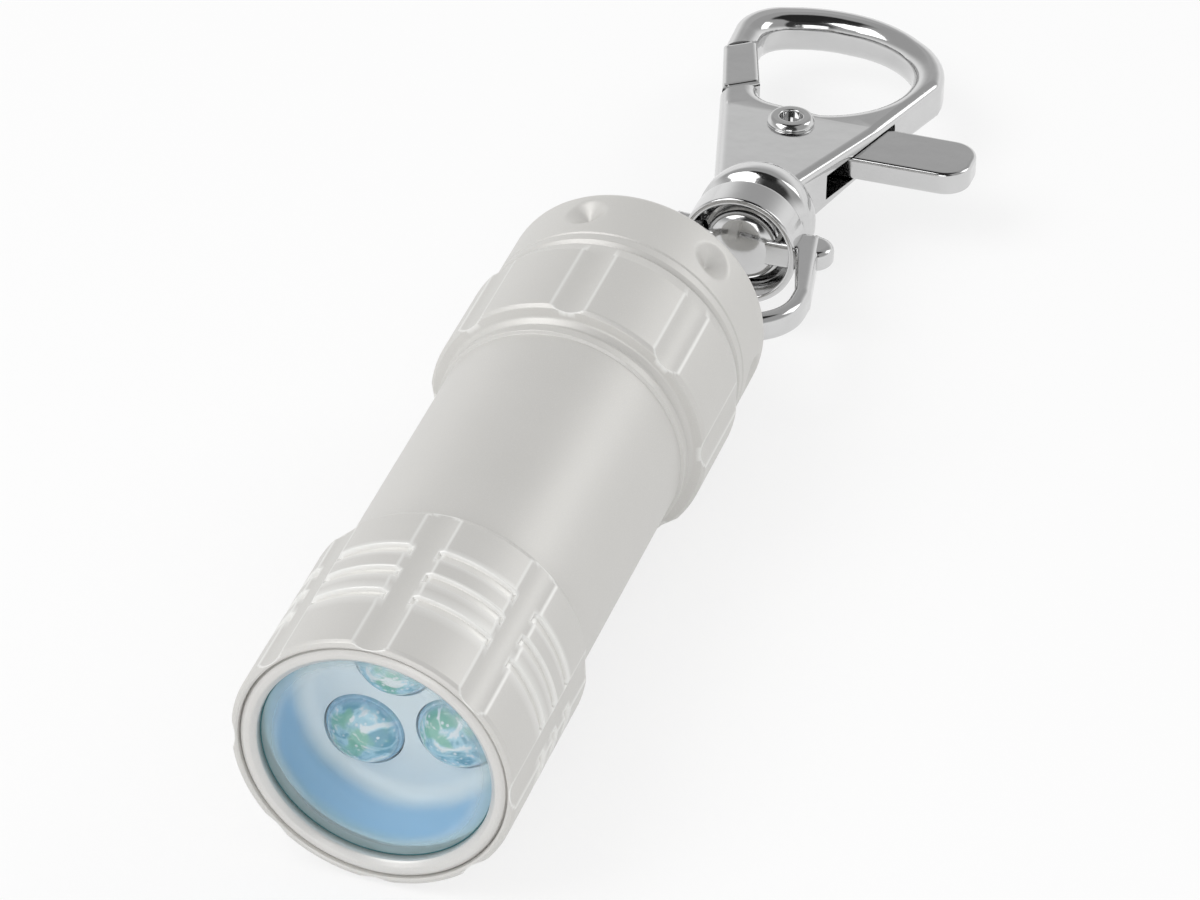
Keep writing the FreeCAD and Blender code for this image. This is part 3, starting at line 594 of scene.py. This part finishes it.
def resin(deep, mid, leaf):
    """Lamp resin painted with reflections: a mottled teal, blue and green swirl, pale swirl tops and
    white glints, bluer towards its base.
    """
    def build(tree, place):
        twist = noise(tree, place, 420.0)
        swirl = noise(tree, place, 620.0, 2.5, 0.6, 1.2)
        glint_cells = add(tree, "ShaderNodeTexVoronoi", {"feature": "F1"},
                    {"Vector": place, "Scale": 1900.0}, out="Distance")
        _, along, _ = axes(tree, place)
        ring = ((along - TORCH.translation.y) * 1000).fade(5.5, 6.1)
        # Painted reflections: the mottle, the pale swirl tops and the white specks stand in for what
        # the clear domes reflect.
        colour = blend(tree, swirl.fade(0.38, 0.56), deep, mid)
        colour = blend(tree, twist.fade(0.5, 0.6) * 0.85, colour, leaf)
        colour = blend(tree, swirl.fade(0.56, 0.66) * 0.9, colour, (0.93, 0.98, 1.0))
        colour = blend(tree, (1 - glint_cells.fade(0.12, 0.3)) * 0.75, colour, (0.92, 0.98, 1.0))
        colour = blend(tree, ring * 0.7, colour, (0.42, 0.66, 0.86))
        return {"Base Color": colour, "Roughness": swirl * 0.1 + 0.05,
                "Normal": bump(tree, swirl, 0.00009, 0.5)}
    return build


# Sizes a user would change

def length(text, value):
    return bpy.props.FloatProperty(
        name=text, description=text + ", in millimetres", default=value)


def colour(text, value):
    return bpy.props.FloatVectorProperty(
        name=text, description=text, default=value, subtype="COLOR", size=3, min=0, max=1)


class TorchSizes(bpy.types.PropertyGroup):
    flute_depth: length("Depth of the flutes", 0.36)
    flute_edge: length("Softness of the flute's edges", 0.06)
    slot_depth: length("Depth of the cooling slots", 0.30)
    slot_width: length("Width of the cooling slots", 0.9)
    dimple_depth: length("Depth of the cap's dimples", 1.0)
    aluminium: colour("Colour of the anodised aluminium", (0.70, 0.69, 0.665))
    # The cup's three colours are painted reflection of the lamps' light, not the mirror's own
    # colour.
    cup_wall_reflection: colour("Colour of the cup's wall", (0.36, 0.63, 0.88))
    cup_floor_reflection: colour("Colour of the cup's floor", (0.86, 0.96, 1.0))
    cup_edge_reflection: colour("Colour of the cup by the lens", (0.45, 0.66, 0.74))


class HookSizes(bpy.types.PropertyGroup):
    edge_round: length("Rounding of the plate's outer edge", 0.8)
    ring_round: length("Rounding inside the ring", 1.15)
    nickel: colour("Colour of the nickel", (0.66, 0.66, 0.66))


class StageSizes(bpy.types.PropertyGroup):
    key: bpy.props.FloatProperty(
        name="Key light", description="Power of the large lamp", default=1.0, min=0)
    shadow: bpy.props.FloatProperty(
        name="Shadow", description="How much of the shadow the white floor shows",
        default=0.25, min=0, max=1, subtype="FACTOR")


FINISHES = {}


def finishes():
    """Every material of the object, made once."""
    if FINISHES:
        return FINISHES
    torch, hook = bpy.context.scene.torch_sizes, bpy.context.scene.hook_sizes
    cup_reflection_colours = [tuple(tint) for tint in (torch.cup_wall_reflection, torch.cup_floor_reflection, torch.cup_edge_reflection)]
    lens_colours = (0.9, 0.97, 1.0), (0.42, 0.55, 0.56), (0.05, 0.16, 0.18)
    lamp_colours = (0.14, 0.42, 0.55), (0.45, 0.76, 0.88), (0.2, 0.56, 0.40)
    FINISHES.update(
        aluminium=finish("satin_aluminium", satin(tuple(torch.aluminium)), Metallic=0.35),
        bezel=finish("turned_aluminium", satin((0.74, 0.73, 0.71)), Metallic=0.5, Coat_Weight=0.2),
        lens=finish("clear_lens", clear_disc(*lens_colours), IOR=1.49),
        cup=finish("mirror_cup", cup(*cup_reflection_colours), Metallic=0.1),
        resin=finish("lamp_resin", resin(*lamp_colours), Coat_Weight=1.0),
        nickel=finish("bright_nickel", plated(tuple(hook.nickel)), Metallic=1.0),
        rubber=finish("black_rubber", plain((0.03, 0.03, 0.03), 2000.0, 0.6)),
        white=finish("white_moulding", plain((0.8, 0.81, 0.82), 1500.0, 0.4)),
        board=finish("green_board", plain((0.04, 0.2, 0.09), 900.0, 0.3)),
        black=finish("black_tube", plain((0.03, 0.03, 0.035), 1200.0, 0.4)),
        brass=finish("plain_brass", brushed((0.75, 0.55, 0.22)), Metallic=1.0),
        steel=finish("plain_steel", brushed((0.62, 0.62, 0.61)), Metallic=1.0),
    )
    return FINISHES


# Geometry Nodes

def geometry_tree(name, inputs):
    """Geometry tree with named number inputs: returns the tree and the wires of its inputs."""
    tree = bpy.data.node_groups.new(name, "GeometryNodeTree")
    tree.interface.new_socket("Geometry", in_out="INPUT", socket_type="NodeSocketGeometry")
    for text, value in inputs.items():
        socket = tree.interface.new_socket(text, in_out="INPUT", socket_type="NodeSocketFloat")
        socket.default_value = value
    tree.interface.new_socket("Geometry", in_out="OUTPUT", socket_type="NodeSocketGeometry")
    return tree, outputs(add(tree, "NodeGroupInput"))


def smooth_tree():
    """Smooth faces that keep the sharp edges of a CAD node."""
    tree, wires = geometry_tree("smooth_faces", {})
    merged = add(tree, "GeometryNodeMergeByDistance", {},
                 {"Geometry": wires["Geometry"], "Distance": 1e-6})
    sharp = add(tree, "GeometryNodeInputMeshEdgeAngle").math("GREATER_THAN", math.radians(32))
    faces = add(tree, "GeometryNodeSetShadeSmooth", {"domain": "FACE"},
                {0: merged, "Shade Smooth": True})
    edges = add(tree, "GeometryNodeSetShadeSmooth", {"domain": "EDGE"},
                {0: faces, "Selection": sharp, "Shade Smooth": False})
    add(tree, "NodeGroupOutput", {}, {0: edges})
    return tree


def turned_tree(name, inputs):
    """Geometry tree whose wires also say where each point lies round the Y axis."""
    tree, wires = geometry_tree(name, inputs)
    x, y, z = axes(tree, add(tree, "GeometryNodeInputPosition"))
    wires.update(x=x, along=y, z=z)
    wires["radius"] = (x * x + z * z).math("SQRT")
    wires["angle"] = z.math("ARCTAN2", x)
    return tree, wires


def finish_tree(tree, wires, radius, material, marks):
    """Moves each point to this radius and ends the tree. Marks are kept for the finish by name,
    and are stored first because they are worked out from the unmoved points."""
    ratio = radius / wires["radius"].math("MAXIMUM", 1e-6)
    place = add(tree, "ShaderNodeCombineXYZ", {},
                {0: wires["x"] * ratio, 1: wires["along"], 2: wires["z"] * ratio})
    shape = wires["Geometry"]
    for name, mask in marks.items():
        shape = add(tree, "GeometryNodeStoreNamedAttribute",
                    {"data_type": "FLOAT", "domain": "POINT"},
                    {"Geometry": shape, "Name": name, "Value": mask})
    moved = add(tree, "GeometryNodeSetPosition", {}, {"Geometry": shape, "Position": place})
    real = add(tree, "GeometryNodeRealizeInstances", {}, {"Geometry": moved})
    coated = add(tree, "GeometryNodeSetMaterial", {}, {"Geometry": real, "Material": material})
    add(tree, "NodeGroupOutput", {}, {0: coated})


def apply_tree(thing, tree):
    modifier = thing.modifiers.new(tree.name, "NODES")
    modifier.node_group = tree
    settle(thing)


def repeat_angle(wires, count, shift=0.0):
    """Angle from the nearest of so many places round the axis."""
    half = math.pi / count
    return (wires["angle"] - shift).math("WRAP", half, -half)


def flute_tree(material, sizes):
    """Round flutes along the head and the collar, and slots across the panels between them."""
    tree, w = turned_tree("flutes_and_slots", {
        "Flute Depth": sizes.flute_depth, "Flute Edge": sizes.flute_edge,
        "Cutter Radius": FLUTE_CUTTER, "Slot Depth": sizes.slot_depth,
        "Slot Half Width": sizes.slot_width / 2, "First Slot": FIRST_SLOT,
        "Slot Pitch": SLOT_PITCH, "Slot Half Angle": SLOT_HALF_ANGLE})
    on_skin = w["radius"].math("GREATER_THAN", FLUTED_FROM)

    rear = w["along"].math("GREATER_THAN", WAIST_MIDDLE)
    outer = rear * (COLLAR_RADIUS - HEAD_RADIUS) + HEAD_RADIUS
    cutter = w["Cutter Radius"]
    centre = outer + cutter - w["Flute Depth"]
    turn = repeat_angle(w, PANELS)
    side = centre * turn.math("SINE")
    rise = (cutter * cutter - side * side).math("MAXIMUM", 0.0).math("SQRT")
    floor = centre * turn.math("COSINE") - rise
    fluted = w["radius"].math("SMOOTH_MIN", floor, w["Flute Edge"])
    radius = w["radius"] + on_skin * (fluted - w["radius"])

    row = (w["along"] - w["First Slot"]) / w["Slot Pitch"]
    nearest = row.math("ROUND").clamp(0.0, SLOT_ROWS - 1.0)
    near = (nearest - row).math("ABSOLUTE") * w["Slot Pitch"]
    reach = repeat_angle(w, PANELS, math.pi / PANELS).math("ABSOLUTE") * (180 / math.pi)
    half_width, half_angle = w["Slot Half Width"], w["Slot Half Angle"]
    slot = on_skin * near.within(half_width, 0.1, 0.04) * reach.within(half_angle, 0.8, 0.5)
    radius = radius - slot * w["Slot Depth"]

    # These marks paint highlights in the finish: the slots themselves, and a light line round each
    # slot and along the flutes' edges.
    around = near.within(half_width, -0.05, 0.16) * reach.within(half_angle, -0.4, 1.1)
    outline = on_skin * around * (1 - slot.fade(0.55, 1.0))
    brink = on_skin * (1 - (floor - w["radius"]).math("ABSOLUTE").fade(0.03, 0.1))
    marks = {"painted_slot_highlight": slot, "light": (outline + brink).clamp(0.0, 1.0)}
    finish_tree(tree, w, radius, material, marks)
    return tree


def dimple_tree(material, depth):
    """Cones round the cap."""
    tree, w = turned_tree("dimples", {
        "Dimple Depth": depth, "Dimple Radius": DIMPLE_RADIUS, "Place": DIMPLE_AT,
        "First Angle": FIRST_DIMPLE})
    side = repeat_angle(w, DIMPLES, w["First Angle"]).math("SINE") * w["radius"]
    back = w["along"] - w["Place"]
    away = (side * side + back * back).math("SQRT")
    cone = CAP_RADIUS - w["Dimple Depth"] + away * w["Dimple Depth"] / w["Dimple Radius"]
    on_skin = w["radius"].math("GREATER_THAN", DIMPLED_FROM)
    cut_radius = w["radius"].math("SMOOTH_MIN", cone, 0.12)
    finish_tree(tree, w, w["radius"] + on_skin * (cut_radius - w["radius"]), material, {})
    return tree


def stations(profile, spans):
    """Profile with more points along its long outer runs.
    Spans are (start, end, step) along the axis."""
    stops = []
    for start, end, step in spans:
        count = max(1, round((end - start) / step))
        stops += [start + (end - start) * k / count for k in range(count + 1)]
    result = []
    for i, here in enumerate(profile):
        there = profile[(i + 1) % len(profile)]
        result.append(here)
        if abs(here[0] - there[0]) < SHORT_RUN or min(here[1], there[1]) < SKIN_FROM:
            continue
        low, high = sorted((here[0], there[0]))
        passed = {round(stop, 4) for stop in stops if low + 0.02 < stop < high - 0.02}
        for stop in sorted(passed, reverse=here[0] > there[0]):
            part = (stop - here[0]) / (there[0] - here[0])
            result.append(Vector((stop, here[1] + (there[1] - here[1]) * part)))
    return result


# Operators

class BuildBarrel(bpy.types.Operator):
    """Barrel with its flutes and cooling slots"""
    bl_idname = "torch.build_barrel"
    bl_label = "Barrel"

    def execute(self, context):
        sizes = context.scene.torch_sizes
        metal = finishes()["aluminium"]
        profile = rounded([
            (0.3, 9.15, 0.03), (0.1, 9.2, 0.06), (0.0, 9.35, 0.1), (0.12, 9.62, 0.15),
            (0.4, HEAD_RADIUS, 0.2), (14.2, HEAD_RADIUS, 0.3), (14.85, 9.42, 0.5),
            (15.2, WAIST_RADIUS, 0.25), (36.8, WAIST_RADIUS, 0.08), (36.9, 9.0, 0.08),
            (37.55, 9.0, 0.15), (37.7, WAIST_RADIUS, 0.08), (37.95, 8.76, 0.3), (38.35, 9.1, 0.3),
            (38.5, 9.75, 0.12), (38.75, COLLAR_RADIUS, 0.25), (45.5, COLLAR_RADIUS, 0.5),
            (46.95, 9.5, 0.12), (47.0, NECK_BORE), (42.0, NECK_BORE), (42.0, CELL_BORE),
            (14.6, CELL_BORE), (14.6, LENS_BORE), (3.0, LENS_BORE), (3.0, 9.15)])
        half = sizes.slot_width / 2
        spans = [(0.6, 14.0, 0.9), (16.0, 36.5, 2.2), (39.2, 45.2, 0.7)]
        for row in range(SLOT_ROWS):
            middle = FIRST_SLOT + row * SLOT_PITCH
            spans += [(middle - half - 0.1, middle - half + 0.14, 0.04),
                      (middle + half - 0.14, middle + half + 0.1, 0.04),
                      (middle - half + 0.15, middle + half - 0.15, 0.12)]
        barrel = lathe("barrel_body", stations(profile, spans), 360)
        apply_tree(barrel, flute_tree(metal, sizes))
        outwards(barrel)
        sharpen(barrel, 50)
        dress(barrel, "barrel_body", TORCH, metal, "torch", "anodised_aluminium", "barrel")
        return {"FINISHED"}


class BuildFront(bpy.types.Operator):
    """Bezel ring, lens, reflector cup and lamps"""
    bl_idname = "torch.build_front"
    bl_label = "Lens group"

    def execute(self, context):
        kit = finishes()
        ring = lathe("bezel", rounded([
            (1.0, 8.0), (0.42, 8.0, 0.1), (0.3, 8.1, 0.1), (0.02, 8.4, 0.3), (0.02, 8.75, 0.3),
            (0.2, 9.0, 0.1), (0.35, 9.08, 0.04), (0.4, 9.13), (1.0, 9.13)], 6), 240)
        dress(ring, "bezel", TORCH, kit["bezel"], "torch", "bright_aluminium", "bezel_ring")
        paint("lens", kit["lens"])
        # The seal takes the cup's finish with its painted reflection.
        paint("lens_seal", kit["cup"])
        paint("reflector", kit["cup"])
        profile = [
            (12.5, 0.0), (12.5, 2.9), (11.5, 2.9), (11.5, 2.5), (6.6, 2.5), (6.6, 2.72),
            (6.3, 2.72), (6.12, 2.6), (6.12, LAMP_RADIUS)]
        profile += dome(LAMP_SHOULDER, -1.3, 0.0, LAMP_RADIUS, 12)
        for number in range(3):
            angle = math.radians(LAMP_TURN + 120 * number)
            side, up = LAMP_CIRCLE * math.cos(angle), LAMP_CIRCLE * math.sin(angle)
            lamp = lathe("lamp", profile, 72)
            sharpen(lamp, 50)
            dress(lamp, "lamp_%d" % (number + 1), TORCH @ Matrix.Translation((side, 0, up)),
                  kit["resin"], "torch", "lamp_resin", "led_%d" % (number + 1))
        return {"FINISHED"}


class BuildCap(bpy.types.Operator):
    """Tail cap with its dimples and lug"""
    bl_idname = "torch.build_cap"
    bl_label = "Tail cap"

    def execute(self, context):
        metal = finishes()["aluminium"]
        profile = rounded([
            (42.8, 6.6), (42.8, 8.0, 0.1), (45.7, 8.0), (45.7, 7.25), (46.9, 7.25), (46.9, 8.0),
            (CAP_FRONT, 8.0), (CAP_FRONT, 9.2, 0.1), (CAP_FRONT + 0.35, CAP_RADIUS, 0.15),
            (48.2, CAP_RADIUS, 0.05), (48.32, 9.38, 0.05), (48.45, CAP_RADIUS, 0.05),
            (CAP_REAR, CAP_RADIUS, 0.5), (CAP_REAR, 0.0), (48.6, 0.0), (48.6, 6.6)])
        cap = lathe("cap", stations(profile, [(49.2, 52.9, 0.1)]), 360)
        apply_tree(cap, dimple_tree(metal, context.scene.torch_sizes.dimple_depth))
        outwards(cap)
        slot = LUG_SLOT_HALF
        lug_outer = arc_outline([
            (5.0, -0.5), (5.0, 3.4), (2.8, 5.6, 2.2), (-2.8, 5.6), (-5.0, 3.4, 2.2), (-5.0, -0.5)],
            0.3)
        lug_inner = arc_outline([
            (slot - 1, 1.0), (slot, 2.0, 1.0), (slot, 3.2), (slot - 1, 4.2, 1.0), (1 - slot, 4.2),
            (-slot, 3.2, 1.0), (-slot, 2.0), (1 - slot, 1.0, 1.0)], 0.2)
        lug = plate("lug", lug_outer, lug_inner, LUG_HALF, steps=4)
        # The lug stands upright behind the cap: its own across becomes up
        swap = Matrix(((0, 0, 1, 0), (0, 1, 0, 0), (1, 0, 0, 0), (0, 0, 0, 1)))
        lug.data.transform(Matrix.Translation((0, CAP_REAR, 0)) @ swap)
        outwards(lug)
        piece = join("cap_body", [cap, lug])
        sharpen(piece, 50)
        dress(piece, "cap_body", TORCH, metal, "cap", "anodised_aluminium", "tail_cap")
        return {"FINISHED"}


class PaintInner(bpy.types.Operator):
    """Finishes of the pieces inside the torch"""
    bl_idname = "torch.paint_inner"
    bl_label = "Inner pieces"

    def execute(self, context):
        kit = finishes()
        for name, nodes in (
                ("white", ["led_holder"]),
                ("board", ["circuit_board"]),
                ("steel", ["led_leads", "cell_1", "cell_2", "cell_3", "cell_4", "tail_spring"]),
                ("brass", ["board_contact", "tail_contact"]),
                ("black", ["battery_sleeve"]),
                ("rubber", ["cap_seal"])):
            for node in nodes:
                paint(node, kit[name])
        return {"FINISHED"}


class BuildBail(bpy.types.Operator):
    """Bail loop with the swivel's hub, and the swivel pin"""
    bl_idname = "torch.build_bail"
    bl_label = "Bail and pin"

    def execute(self, context):
        nickel = finishes()["nickel"]

        def loop(inset, top):
            wide, bend = LOOP_HALF_WIDTH - inset, LOOP_BEND - inset
            shoulder, low = LOOP_SHOULDER - inset, inset - 0.6
            return arc_outline([
                (2.4, low), (wide, 3.9, bend), (wide, 5.2), (shoulder, top), (-shoulder, top),
                (-wide, 5.2), (-wide, 3.9), (-2.4, low, bend)], 0.35)

        ring = plate("loop", loop(0, 13.0), loop(1.2, 10.5), 1.0, 0.6)
        hub = lathe("hub", rounded([
            (12.0, 3.1, 0.1), (11.2, 3.35, 0.3), (10.1, 3.85, 0.2), (10.1, 4.3, 0.2),
            (12.9, 4.3, 0.3), (13.3, 3.8, 0.2), (13.3, PIN_HOLE), (12.0, PIN_HOLE)]), 120)
        nubs = []
        for side in (-1, 1):
            nub = lathe("nub", rounded([
                (-0.8, 0.0), (-0.8, 1.45, 0.5), (0.8, 1.45, 0.5), (0.8, 0.0)]), 48)
            nub.data.transform(Matrix.Translation((5.25 * side, 11.7, 0)) @ UPRIGHT)
            nubs.append(nub)
        piece = join("bail_body", [ring, hub] + nubs)
        sharpen(piece, 40)
        dress(piece, "bail_body", HOOK, nickel, "bail", "bright_nickel", "bail")
        pin = lathe("pin", [
            (16.65, 0.0), (16.65, PIN_NECK), (11.95, PIN_NECK), (11.95, 2.6), (11.8, 2.74),
            (11.2, PIN_HEAD_RADIUS)] + dome(11.2, -1.0, 0.0, PIN_HEAD_RADIUS, 10, 0.9), 96)
        sharpen(pin, 50)
        dress(pin, "pin_head", HOOK, nickel, "hook", "bright_nickel", "swivel_pin")
        return {"FINISHED"}


def gate_joint(u, shift=0.0):
    """Point of the sloping joint between the plate and the gate."""
    return Vector((u, 30.7 + GATE_SLOPE * (u + 6.4) + shift))


def gate_seam(u, shift=0.0):
    """Point of the sloping seam where the gate's end meets the ring."""
    return Vector((u, 37.5 + GATE_SLOPE * (u + 8.1) + shift))


def hook_half(v):
    """Half thickness of the hook, which grows from the ring to the foot of the plate."""
    return RING_HALF + FOOT_RISE * max(0.0, min(1.0, (RAMP_AT - v) / RAMP_LENGTH))


class BuildHook(bpy.types.Operator):
    """Hook body with its ring, dome and slots, and the rivet"""
    bl_idname = "torch.build_hook"
    bl_label = "Hook body and rivet"

    def execute(self, context):
        sizes = context.scene.hook_sizes
        nickel = finishes()["nickel"]
        outer = arc_outline([
            (1.9, 15.6), (7.95, 36.4), (4.8, 42.7, 7.5), (-1.0, 45.25, 10.0), (-6.2, 44.55, 12.0),
            (-9.25, 40.2, 4.0), (-9.05, 36.6), (-3.5, 15.6)], 0.4)
        inner = arc_outline([
            (0.7, 29.5), (5.6, 35.6, 7.0), (3.9, 40.6, 5.9), (-1.0, 42.8, 7.0), (-5.0, 42.3, 8.0),
            (-6.9, 40.2, 2.4), (-6.9, 38.0), (-4.6, 31.2), (-3.0, 30.0, 2.0)], 0.4)
        body = plate("plate", outer, inner, hook_half, sizes.edge_round, sizes.ring_round, 6,
                     [(-6.2, RAMP_AT), (4.9, RAMP_AT)])
        cut(body, prism("gate_gap", [
            gate_joint(-11), gate_joint(-3.4), gate_seam(-3.4), gate_seam(-11)], -4, 4))
        cut(body, prism("lever_slot", [
            (16, 21.1), (2.1, 21.1), (2.1, 19.6), (0.2, 19.6), (-3.1, 24.4), (-5.6, 27.6),
            (-6.7, 29.3), (-6.7, 33.5), (-3, 33.5), (1.5, 30.2), (16, 30.2)], -1, 1))
        flange = lathe("flange", [
            (13.65, 1.52), (13.65, 3.45), (13.75, 3.6), (14.1, 3.9), (14.3, 4.2), (14.5, 4.3),
            (FLANGE_AT, 4.3)] + dome(FLANGE_AT, 3.0, 2.0, 2.3, 12) + [(17.95, 1.52)], 120)
        piece = join("hook_plate", [body, flange])
        sharpen(piece, 40)
        dress(piece, "hook_plate", HOOK, nickel, "hook", "bright_nickel", "hook_body")

        top, under = 2.25, 1.65
        rivet = lathe("rivet", rounded([
            (-top, 0.85, 0.12), (-top, 1.5, 0.3), (-under, 1.95, 0.2), (-under, 1.15),
            (under, 1.15), (under, 1.95, 0.2), (top, 1.5, 0.3), (top, 0.85, 0.12)]), 72)
        # A black plug inside the hollow rivet: painted shade, a dark piece put where the rivet's
        # hole only falls into shade.
        hole_shade = lathe("hole_shade", rounded([
            (-1.5, 0.0), (-1.5, 0.86, 0.05), (1.5, 0.86, 0.05), (1.5, 0.0)]), 48)
        for thing in (rivet, hole_shade):
            thing.data.transform(RIVET_PLACE)
            sharpen(thing, 50)
        dress(hole_shade, "rivet_hole_shade", HOOK, finishes()["black"], "hook", "bright_nickel")
        dress(rivet, "rivet_rolled", HOOK, nickel, "hook", "bright_nickel", "gate_rivet")
        return {"FINISHED"}


class BuildLever(bpy.types.Operator):
    """Gate lever with its thumb tab, and its return spring"""
    bl_idname = "torch.build_lever"
    bl_label = "Gate lever and spring"

    def execute(self, context):
        gate = [gate_joint(-7.25, 0.22), gate_joint(-4.85, 0.22),
                gate_seam(-6.9, -GATE_GAP), gate_seam(-9.05, -GATE_GAP)]
        bar = plate("bar", arc_outline([tuple(point) for point in gate], 0.3), None,
                    RING_HALF, 0.4)
        arm = plate("arm", arc_outline([
            (-0.9, 24.8), (-0.9, 28.4), (-3.0, 29.2), (-4.6, 30.9), (-5.6, 32.2), (-6.5, 30.2)],
            0.3), None, ARM_HALF, 0.1, steps=2)
        tab = plate("tab", arc_outline([
            (-0.9, 24.4), (11.0, 24.4), (13.0, 26.4, 2.0), (13.0, 27.6), (11.0, 29.6, 2.0),
            (6.4, 29.6), (2.0, 28.4), (-0.9, 28.4)], 0.3), None, TAB_HALF, 0.28)
        piece = join("lever_body", [bar, arm, tab])
        sharpen(piece, 40)
        dress(piece, "lever_body", HOOK, finishes()["nickel"], "lever", "bright_nickel",
              "gate_lever")
        paint("gate_spring", finishes()["steel"])
        return {"FINISHED"}


# Stage

CAMERA_PLACE = (0.11379, -0.35027, 0.27383)
CAMERA_DOWN = 36.62
CAMERA_ROUND = 18.71
TO_CAMERA = (0.2575, -0.7602, 0.5966)
FLOOR_REACH = 3
WHITE = (1, 1, 1, 1)

# Name, place, width, power and what the lamp looks at
LAMPS = (
    ("key", (-0.35, -0.25, 0.55), 0.45, 1.7, (0, 0, 0.01)),
    ("front", (0.1, -0.6, 0.3), 0.3, 0.6, (0, -0.04, 0.01)),
    ("rim", (0.4, 0.35, 0.35), 0.3, 0.5, (0, 0.02, 0.01)),
)


def white_floor(shadow):
    """Paper that shows plain white to the camera, mirrors and clear pieces, but for its shadow."""
    material = new_material("white_floor")
    tree = material.node_tree
    rays = outputs(add(tree, "ShaderNodeLightPath"))
    seen = rays["Is Camera Ray"] + rays["Is Glossy Ray"] * 0.9 + rays["Is Transmission Ray"]
    paper = add(tree, "ShaderNodeBsdfDiffuse", {}, {"Color": (0.9, 0.9, 0.9, 1)})
    glow = add(tree, "ShaderNodeEmission", {}, {"Color": WHITE, "Strength": 1.0})
    mixed = add(tree, "ShaderNodeMixShader", {},
                {0: seen.clamp(0.0, 1.0) * (1 - shadow), 1: paper, 2: glow})
    add(tree, "ShaderNodeOutputMaterial", {}, {"Surface": mixed})
    return material


def soft_room():
    """White to the camera; the metal mirrors pale walls, a dark ceiling and a dark doorway."""
    world = bpy.data.worlds.new("soft_room")
    world.use_nodes = True
    tree = world.node_tree
    tree.nodes.clear()
    rays = outputs(add(tree, "ShaderNodeLightPath"))
    shown = (rays["Is Camera Ray"] + rays["Is Transmission Ray"]).clamp(0.0, 1.0)
    mirror = rays["Is Glossy Ray"]
    way = add(tree, "ShaderNodeTexCoord", out="Generated")
    side, _, up = axes(tree, way)
    doorway = add(tree, "ShaderNodeVectorMath", {"operation": "DOT_PRODUCT"},
                  {0: way, 1: TO_CAMERA}, out="Value")
    ceiling = up.fade(0.8, 0.88) * (1 - side.math("ABSOLUTE").fade(0.3, 0.42))
    walls = 1 - up.fade(0.12, 0.5) * 0.55
    walls = walls * (1 - ceiling * 0.95) * (1 - doorway.fade(0.86, 0.94) * 0.9)
    plain_light = up.fade(0.05, 0.9) * 0.4 + 0.35
    strength = shown + (1 - shown) * (mirror * walls + (1 - mirror) * plain_light)
    light = add(tree, "ShaderNodeBackground", {}, {"Color": WHITE, "Strength": strength})
    add(tree, "ShaderNodeOutputWorld", {}, {"Surface": light})
    return world


class BuildStage(bpy.types.Operator):
    """White floor, soft lamps and the camera"""
    bl_idname = "torch.build_stage"
    bl_label = "Stage"

    def execute(self, context):
        scene = context.scene
        sizes = scene.stage_sizes
        far = FLOOR_REACH
        corners = [(-far, -far, 0), (far, -far, 0), (far, far, 0), (-far, far, 0)]
        floor = new_object("floor", corners, [[0, 1, 2, 3]], smooth=False)
        floor.data.materials.append(white_floor(sizes.shadow))
        scene.world = soft_room()

        for name, place, size, power, target in LAMPS:
            data = bpy.data.lights.new(name, "AREA")
            data.size = size
            data.energy = power * sizes.key
            lamp = bpy.data.objects.new(name, data)
            scene.collection.objects.link(lamp)
            lamp.location = place
            way = Vector(target) - Vector(place)
            lamp.rotation_euler = way.to_track_quat("-Z", "Y").to_euler()

        camera = bpy.data.objects.new("camera", bpy.data.cameras.new("camera"))
        camera.data.lens = 195.0
        camera.data.sensor_width = 36.0
        camera.data.clip_start = 0.01
        camera.location = CAMERA_PLACE
        camera.rotation_euler = (math.radians(90 - CAMERA_DOWN), 0, math.radians(CAMERA_ROUND))
        scene.collection.objects.link(camera)
        scene.camera = camera
        scene.view_settings.view_transform = "Standard"
        return {"FINISHED"}


OPERATORS = (BuildBarrel, BuildFront, BuildCap, PaintInner, BuildBail, BuildHook, BuildLever,
             BuildStage)


class TorchPanel(bpy.types.Panel):
    """Lists the torch's pieces"""
    bl_idname = "VIEW3D_PT_torch"
    bl_label = "Keychain torch"
    bl_space_type = "VIEW_3D"
    bl_region_type = "UI"
    bl_category = "Torch"

    def draw(self, context):
        scene = context.scene
        for operator in OPERATORS:
            self.layout.operator(operator.bl_idname)
        for group in (scene.torch_sizes, scene.hook_sizes, scene.stage_sizes):
            for name in group.__annotations__:
                self.layout.prop(group, name)


CLASSES = (TorchSizes, HookSizes, StageSizes) + OPERATORS + (TorchPanel,)


def register():
    for item in CLASSES:
        bpy.utils.register_class(item)
    bpy.types.Scene.torch_sizes = bpy.props.PointerProperty(type=TorchSizes)
    bpy.types.Scene.hook_sizes = bpy.props.PointerProperty(type=HookSizes)
    bpy.types.Scene.stage_sizes = bpy.props.PointerProperty(type=StageSizes)


def unregister():
    for name in ("torch_sizes", "hook_sizes", "stage_sizes"):
        delattr(bpy.types.Scene, name)
    for item in reversed(CLASSES):
        bpy.utils.unregister_class(item)


def main():
    register()
    for operator in OPERATORS:
        getattr(bpy.ops.torch, operator.bl_idname.split(".")[1])()


if __name__ == "__main__":
    main()
